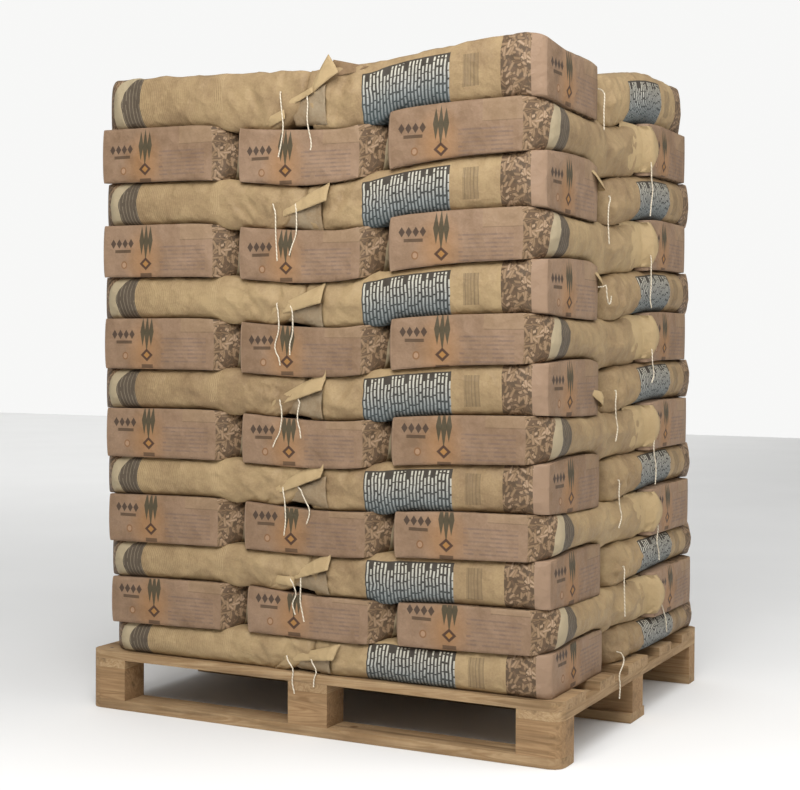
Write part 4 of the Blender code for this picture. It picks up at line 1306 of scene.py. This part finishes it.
class CameraSettings(bpy.types.PropertyGroup):
    place: bpy.props.FloatVectorProperty(name="Place", description="Where the camera stands",
                                         default=(1.7005, -3.4079, 0.8590), subtype="TRANSLATION",
                                         unit="LENGTH")
    azimuth: bpy.props.FloatProperty(name="Azimuth", description="Turn from the front towards the right side",
                                     default=0.46929, subtype="ANGLE", unit="ROTATION")
    elevation: bpy.props.FloatProperty(name="Elevation", description="Angle of the view above level",
                                       default=-0.029804, subtype="ANGLE", unit="ROTATION")
    roll: bpy.props.FloatProperty(name="Roll", description="Turn about the line of sight",
                                  default=0.006799, subtype="ANGLE", unit="ROTATION")
    lens: bpy.props.FloatProperty(name="Lens", description="Focal length on a 36 mm sensor",
                                  default=68.61, unit="CAMERA")


def colour_setting(name, description, code):
    """A colour that a user can change, given as an sRGB hex value."""
    return bpy.props.FloatVectorProperty(name=name, description=description, default=linear(code)[:3],
                                         subtype="COLOR", size=3, min=0.0, max=1.0)


class PaperSettings(bpy.types.PropertyGroup):
    kraft: colour_setting("Kraft", "Plain outside of the sacks", "#a78f69")
    # Also the colour of the folds' piece painted dark as shade.
    shaded_kraft: colour_setting("Shaded kraft", "Darker clouds in the plain outside", "#866e50")
    # Lighter than the plain kraft as painted light, on the lit folded tops, the bill and the gathers'
    # highlights.
    fold: colour_setting("Folded tops", "Outside of the folded tops", "#b29a73")
    # The greyer inside ply, darkened as painted shade on the lower folded flaps.
    inside: colour_setting("Inside ply", "Greyer inside of the folded tops", "#998a72")
    base: colour_setting("Base", "Flat printed bases", "#937962")
    # Also the dark clouds of the folds' piece painted dark as shade.
    shaded_base: colour_setting("Shaded base", "Darker clouds in the flat bases", "#7b624b")


class TimberSettings(bpy.types.PropertyGroup):
    board: colour_setting("Boards", "Early wood of the boards", "#b59a76")
    board_dark: colour_setting("Board rings", "Late wood of the boards", "#957855")
    block: colour_setting("Blocks", "Early wood of the blocks", "#ab8c67")
    block_dark: colour_setting("Block rings", "Late wood of the blocks", "#8a6b4a")


class ThreadSettings(bpy.types.PropertyGroup):
    radius: bpy.props.FloatProperty(name="Radius", description="Half the thread's thickness",
                                    default=THREAD_RADIUS, unit="LENGTH")
    cotton: colour_setting("Cotton", "Lit strands of the thread", "#e6dcc8")
    shaded_cotton: colour_setting("Shaded cotton", "Furrows between the strands", "#bfb199")


class StageSettings(bpy.types.PropertyGroup):
    floor_side: bpy.props.FloatProperty(name="Floor side", description="Length of each side of the floor",
                                        default=24.0, unit="LENGTH")
    key_power: bpy.props.FloatProperty(name="Key light", description="Power of the large light above",
                                       default=110.0, unit="POWER")
    floor_power: bpy.props.FloatProperty(name="Floor lights",
                                         description="Power of each light over the floor",
                                         default=420.0, unit="POWER")
    sky: bpy.props.FloatProperty(name="Sky", description="Brightness of the studio around the pallet",
                                 default=0.30)
    backdrop: bpy.props.FloatProperty(name="Backdrop",
                                      description="Brightness of what the camera sees behind", default=0.95)


# Stage: places and sizes of the lights, the side light's share of the key light's power, and the floor

KEY_PLACE = (0.8, -2.7, 2.9)
KEY_SIZE = 2.2
SIDE_PLACE = (3.0, 0.2, 2.7)
SIDE_SIZE = 2.0
SIDE_SHARE = 0.40
STACK_MIDDLE = (0, 0, 1.0)
FLOOR_LIGHT_PLACES = ((-8, 8), (8, 8), (-8, -8), (8, -8))
FLOOR_LIGHT_HEIGHT = 7
FLOOR_LIGHT_SIZE = 14.0
FLOOR_DROP = 0.0005
WORLD_WHITE = "#fdfdfc"


# Operators

class PALLET_OT_camera(bpy.types.Operator):
    """Place the camera at the photograph's viewing angle."""
    bl_idname = "pallet.camera"
    bl_label = "Camera"

    def execute(self, context):
        settings = context.scene.pallet_camera
        azimuth, elevation = settings.azimuth, settings.elevation
        ahead = Vector((-math.sin(azimuth) * math.cos(elevation), math.cos(azimuth) * math.cos(elevation),
                        math.sin(elevation)))
        level = Vector((math.cos(azimuth), math.sin(azimuth), 0))
        upright = level.cross(ahead)
        right = math.cos(settings.roll) * level + math.sin(settings.roll) * upright
        up = -math.sin(settings.roll) * level + math.cos(settings.roll) * upright
        data = bpy.data.cameras.new("camera")
        data.lens = settings.lens
        data.sensor_width = 36
        camera = bpy.data.objects.new("camera", data)
        context.collection.objects.link(camera)
        axes = Matrix((right, up, -ahead)).transposed()
        camera.matrix_world = Matrix.Translation(Vector(settings.place)) @ axes.to_4x4()
        context.scene.camera = camera
        return {"FINISHED"}


class PALLET_OT_threads(bpy.types.Operator):
    """Hang the loose ends of sewing thread from the sewn ends."""
    bl_idname = "pallet.threads"
    bl_label = "Threads"

    def execute(self, context):
        settings = context.scene.pallet_threads
        material = cotton(settings.cotton, settings.shaded_cotton)
        radius = settings.radius
        for key, route in thread_routes().items():
            data = bpy.data.curves.new(f"sewing_thread_{key}", "CURVE")
            data.dimensions = "3D"
            data.bevel_depth = radius
            data.bevel_resolution = 3
            data.use_fill_caps = True
            spline = data.splines.new("POLY")
            spline.points.add(len(route) - 1)
            for point, spot in zip(spline.points, route):
                point.co = (*spot, 1.0)
            data.materials.append(material)
            thread = bpy.data.objects.new(f"sewing_thread_{key}", data)
            context.collection.objects.link(thread)
            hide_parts(f"thread_{key}")
            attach(thread, "root")
        return {"FINISHED"}


class PALLET_OT_timber(bpy.types.Operator):
    """Give every board and block of the pallet its own piece of pine."""
    bl_idname = "pallet.timber"
    bl_label = "Timber"

    def execute(self, context):
        settings = context.scene.pallet_timber
        number = 0
        for name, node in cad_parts.items():
            if name.startswith(("skid", "deck", "stringer", "block")):
                number += 1
                turn = (0, 0, math.pi / 2) if name.startswith("stringer") else (0, 0, 0)
                colours = (settings.board, settings.board_dark)
                if name.startswith("block"):
                    colours = (settings.block, settings.block_dark)
                wood = pine(f"sawn_pine_{name}", *colours, turn, number * 3.17)
                for slot in node.material_slots:
                    slot.material = wood
        return {"FINISHED"}


class PALLET_OT_sacks(bpy.types.Operator):
    """Lay the filled sacks, five to a layer."""
    bl_idname = "pallet.sacks"
    bl_label = "Sacks"

    def execute(self, context):
        colours = context.scene.pallet_paper
        papers = (text_paper(colours), band_paper(colours), base_paper(colours))
        for layer in range(1, LAYER_COUNT + 1):
            left, right, crosses = sack_places(layer)
            named = {"left": left, "right": right}
            named.update({f"cross_{number}": sack for number, sack in enumerate(crosses)})
            for kind, sack in named.items():
                piece = build_sack(f"sack_{layer:02d}_{kind}", layer, kind, sack, papers)
                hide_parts(f"sack_layer_{layer:02d}")
                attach(piece, "root")
        return {"FINISHED"}


class PALLET_OT_folds(bpy.types.Operator):
    """Add the folded paper that sticks out where sewn ends meet."""
    bl_idname = "pallet.folds"
    bl_label = "Folded tops"

    def execute(self, context):
        colours = context.scene.pallet_paper
        # Lit and shaded copies of the kraft: the fold and bill papers are lighter as painted light, the
        # inside paper is greyer and darker as painted shade, and the shaded paper is dark as painted shade.
        papers = {"outside": flap_paper("sack_kraft_lit_fold", colours.fold, colours.kraft),
                  "inside": flap_paper("sack_kraft_shaded_inside", colours.inside, colours.shaded_kraft),
                  "plain": flap_paper("sack_kraft_lit_bill", colours.fold, colours.kraft),
                  "shaded": flap_paper("sack_kraft_painted_shade", colours.shaded_kraft, colours.shaded_base)}
        rng = np.random.default_rng(SEED)
        placed = [("front", 1, layer, folds_there) for layer, folds_there in FRONT_FOLDS.items()]
        placed += [("side", 0, layer, folds_there) for layer, folds_there in SIDE_FOLDS.items()]
        placed += [("bill", 0, layer, (bill_fold(layer),)) for layer in range(2, LAYER_COUNT, 2)]
        for side, axis, layer, folds_there in placed:
            for number, fold in enumerate(folds_there, 1):
                name = f"fold_{side}_{layer:02d}_{number}"
                sunk, point = (BILL_SUNK, BILL_POINT) if side == "bill" else (FOLD_SUNK, 0.0)
                flap = build_fold(name, layer, fold, axis, papers, rng, sunk, point)
                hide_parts(f"sack_layer_{layer:02d}")
                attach(flap, "root")
        return {"FINISHED"}


class PALLET_OT_nails(bpy.types.Operator):
    """Drive nails through the deck boards and the skids."""
    bl_idname = "pallet.nails"
    bl_label = "Nails"

    def execute(self, context):
        steel = nail_steel()
        for name, wood, way in (("nails_deck", "deck", 1), ("nails_skids", "skid", -1)):
            nails = build_nails(name, nail_spots(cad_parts, wood), way, steel)
            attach(nails, "root")
        return {"FINISHED"}


class PALLET_OT_stage(bpy.types.Operator):
    """Set the pale floor and the soft studio light."""
    bl_idname = "pallet.stage"
    bl_label = "Stage"

    def execute(self, context):
        settings = context.scene.pallet_stage
        bpy.ops.mesh.primitive_plane_add(size=settings.floor_side, location=(0, 0, -FLOOR_DROP))
        floor = context.object
        floor.name = "studio_floor"
        floor.data.materials.append(floor_paint())
        world = bpy.data.worlds.new("studio")
        world.use_nodes = True
        tree = world.node_tree
        tree.nodes.clear()
        white = linear(WORLD_WHITE)
        sky = add_node(tree, "Background", {"Color": white, "Strength": settings.sky})
        backdrop = add_node(tree, "Background", {"Color": white, "Strength": settings.backdrop})
        seen = add_node(tree, "LightPath", output="Is Camera Ray")
        add_node(tree, "OutputWorld", {"Surface": add_node(tree, "MixShader", (seen, sky, backdrop))})
        context.scene.world = world
        context.scene.view_settings.view_transform = "Standard"
        lights = [("key_light", KEY_PLACE, STACK_MIDDLE, KEY_SIZE, 180, settings.key_power),
                  ("side_light", SIDE_PLACE, STACK_MIDDLE, SIDE_SIZE, 180,
                   settings.key_power * SIDE_SHARE)]
        lights += [(f"floor_light_{number}", (x, y, FLOOR_LIGHT_HEIGHT), (x, y, 0), FLOOR_LIGHT_SIZE, 70,
                    settings.floor_power) for number, (x, y) in enumerate(FLOOR_LIGHT_PLACES, 1)]
        for name, place, aim, size, spread, power in lights:
            data = bpy.data.lights.new(name, "AREA")
            data.spread = math.radians(spread)
            data.energy = power
            data.size = size
            light = bpy.data.objects.new(name, data)
            context.collection.objects.link(light)
            light.location = place
            light.rotation_euler = (Vector(aim) - Vector(place)).to_track_quat("-Z", "Y").to_euler()
        return {"FINISHED"}


class PALLET_PT_builder(bpy.types.Panel):
    """Panel that lists the pieces of the loaded pallet."""
    bl_label = "Loaded pallet"
    bl_idname = "PALLET_PT_builder"
    bl_space_type = "VIEW_3D"
    bl_region_type = "UI"
    bl_category = "Pallet"

    def draw(self, context):
        scene = context.scene
        for settings, operator, names in (
                (scene.pallet_camera, "pallet.camera", ("place", "azimuth", "elevation", "roll", "lens")),
                (scene.pallet_threads, "pallet.threads", ("radius", "cotton", "shaded_cotton")),
                (scene.pallet_timber, "pallet.timber", ("board", "board_dark", "block", "block_dark")),
                (None, "pallet.nails", ()),
                (scene.pallet_paper, "pallet.sacks", ("kraft", "shaded_kraft", "base", "shaded_base")),
                (scene.pallet_paper, "pallet.folds", ("fold", "inside")),
                (scene.pallet_stage, "pallet.stage", ("floor_side", "key_power", "floor_power", "sky",
                                                     "backdrop"))):
            for name in names:
                self.layout.prop(settings, name)
            self.layout.operator(operator)


CLASSES = (CameraSettings, PaperSettings, TimberSettings, ThreadSettings, StageSettings, PALLET_OT_camera,
           PALLET_OT_threads, PALLET_OT_timber, PALLET_OT_nails, PALLET_OT_sacks, PALLET_OT_folds,
           PALLET_OT_stage, PALLET_PT_builder)

SETTINGS = {"pallet_camera": CameraSettings, "pallet_paper": PaperSettings,
            "pallet_timber": TimberSettings, "pallet_threads": ThreadSettings,
            "pallet_stage": StageSettings}


def register():
    for item in CLASSES:
        bpy.utils.register_class(item)
    for name, group in SETTINGS.items():
        setattr(bpy.types.Scene, name, bpy.props.PointerProperty(type=group))


def unregister():
    for name in SETTINGS:
        delattr(bpy.types.Scene, name)
    for item in reversed(CLASSES):
        bpy.utils.unregister_class(item)


def main():
    register()
    bpy.ops.pallet.camera()
    bpy.ops.pallet.threads()
    bpy.ops.pallet.timber()
    bpy.ops.pallet.nails()
    bpy.ops.pallet.sacks()
    bpy.ops.pallet.folds()
    bpy.ops.pallet.stage()


if __name__ == "__main__":
    main()
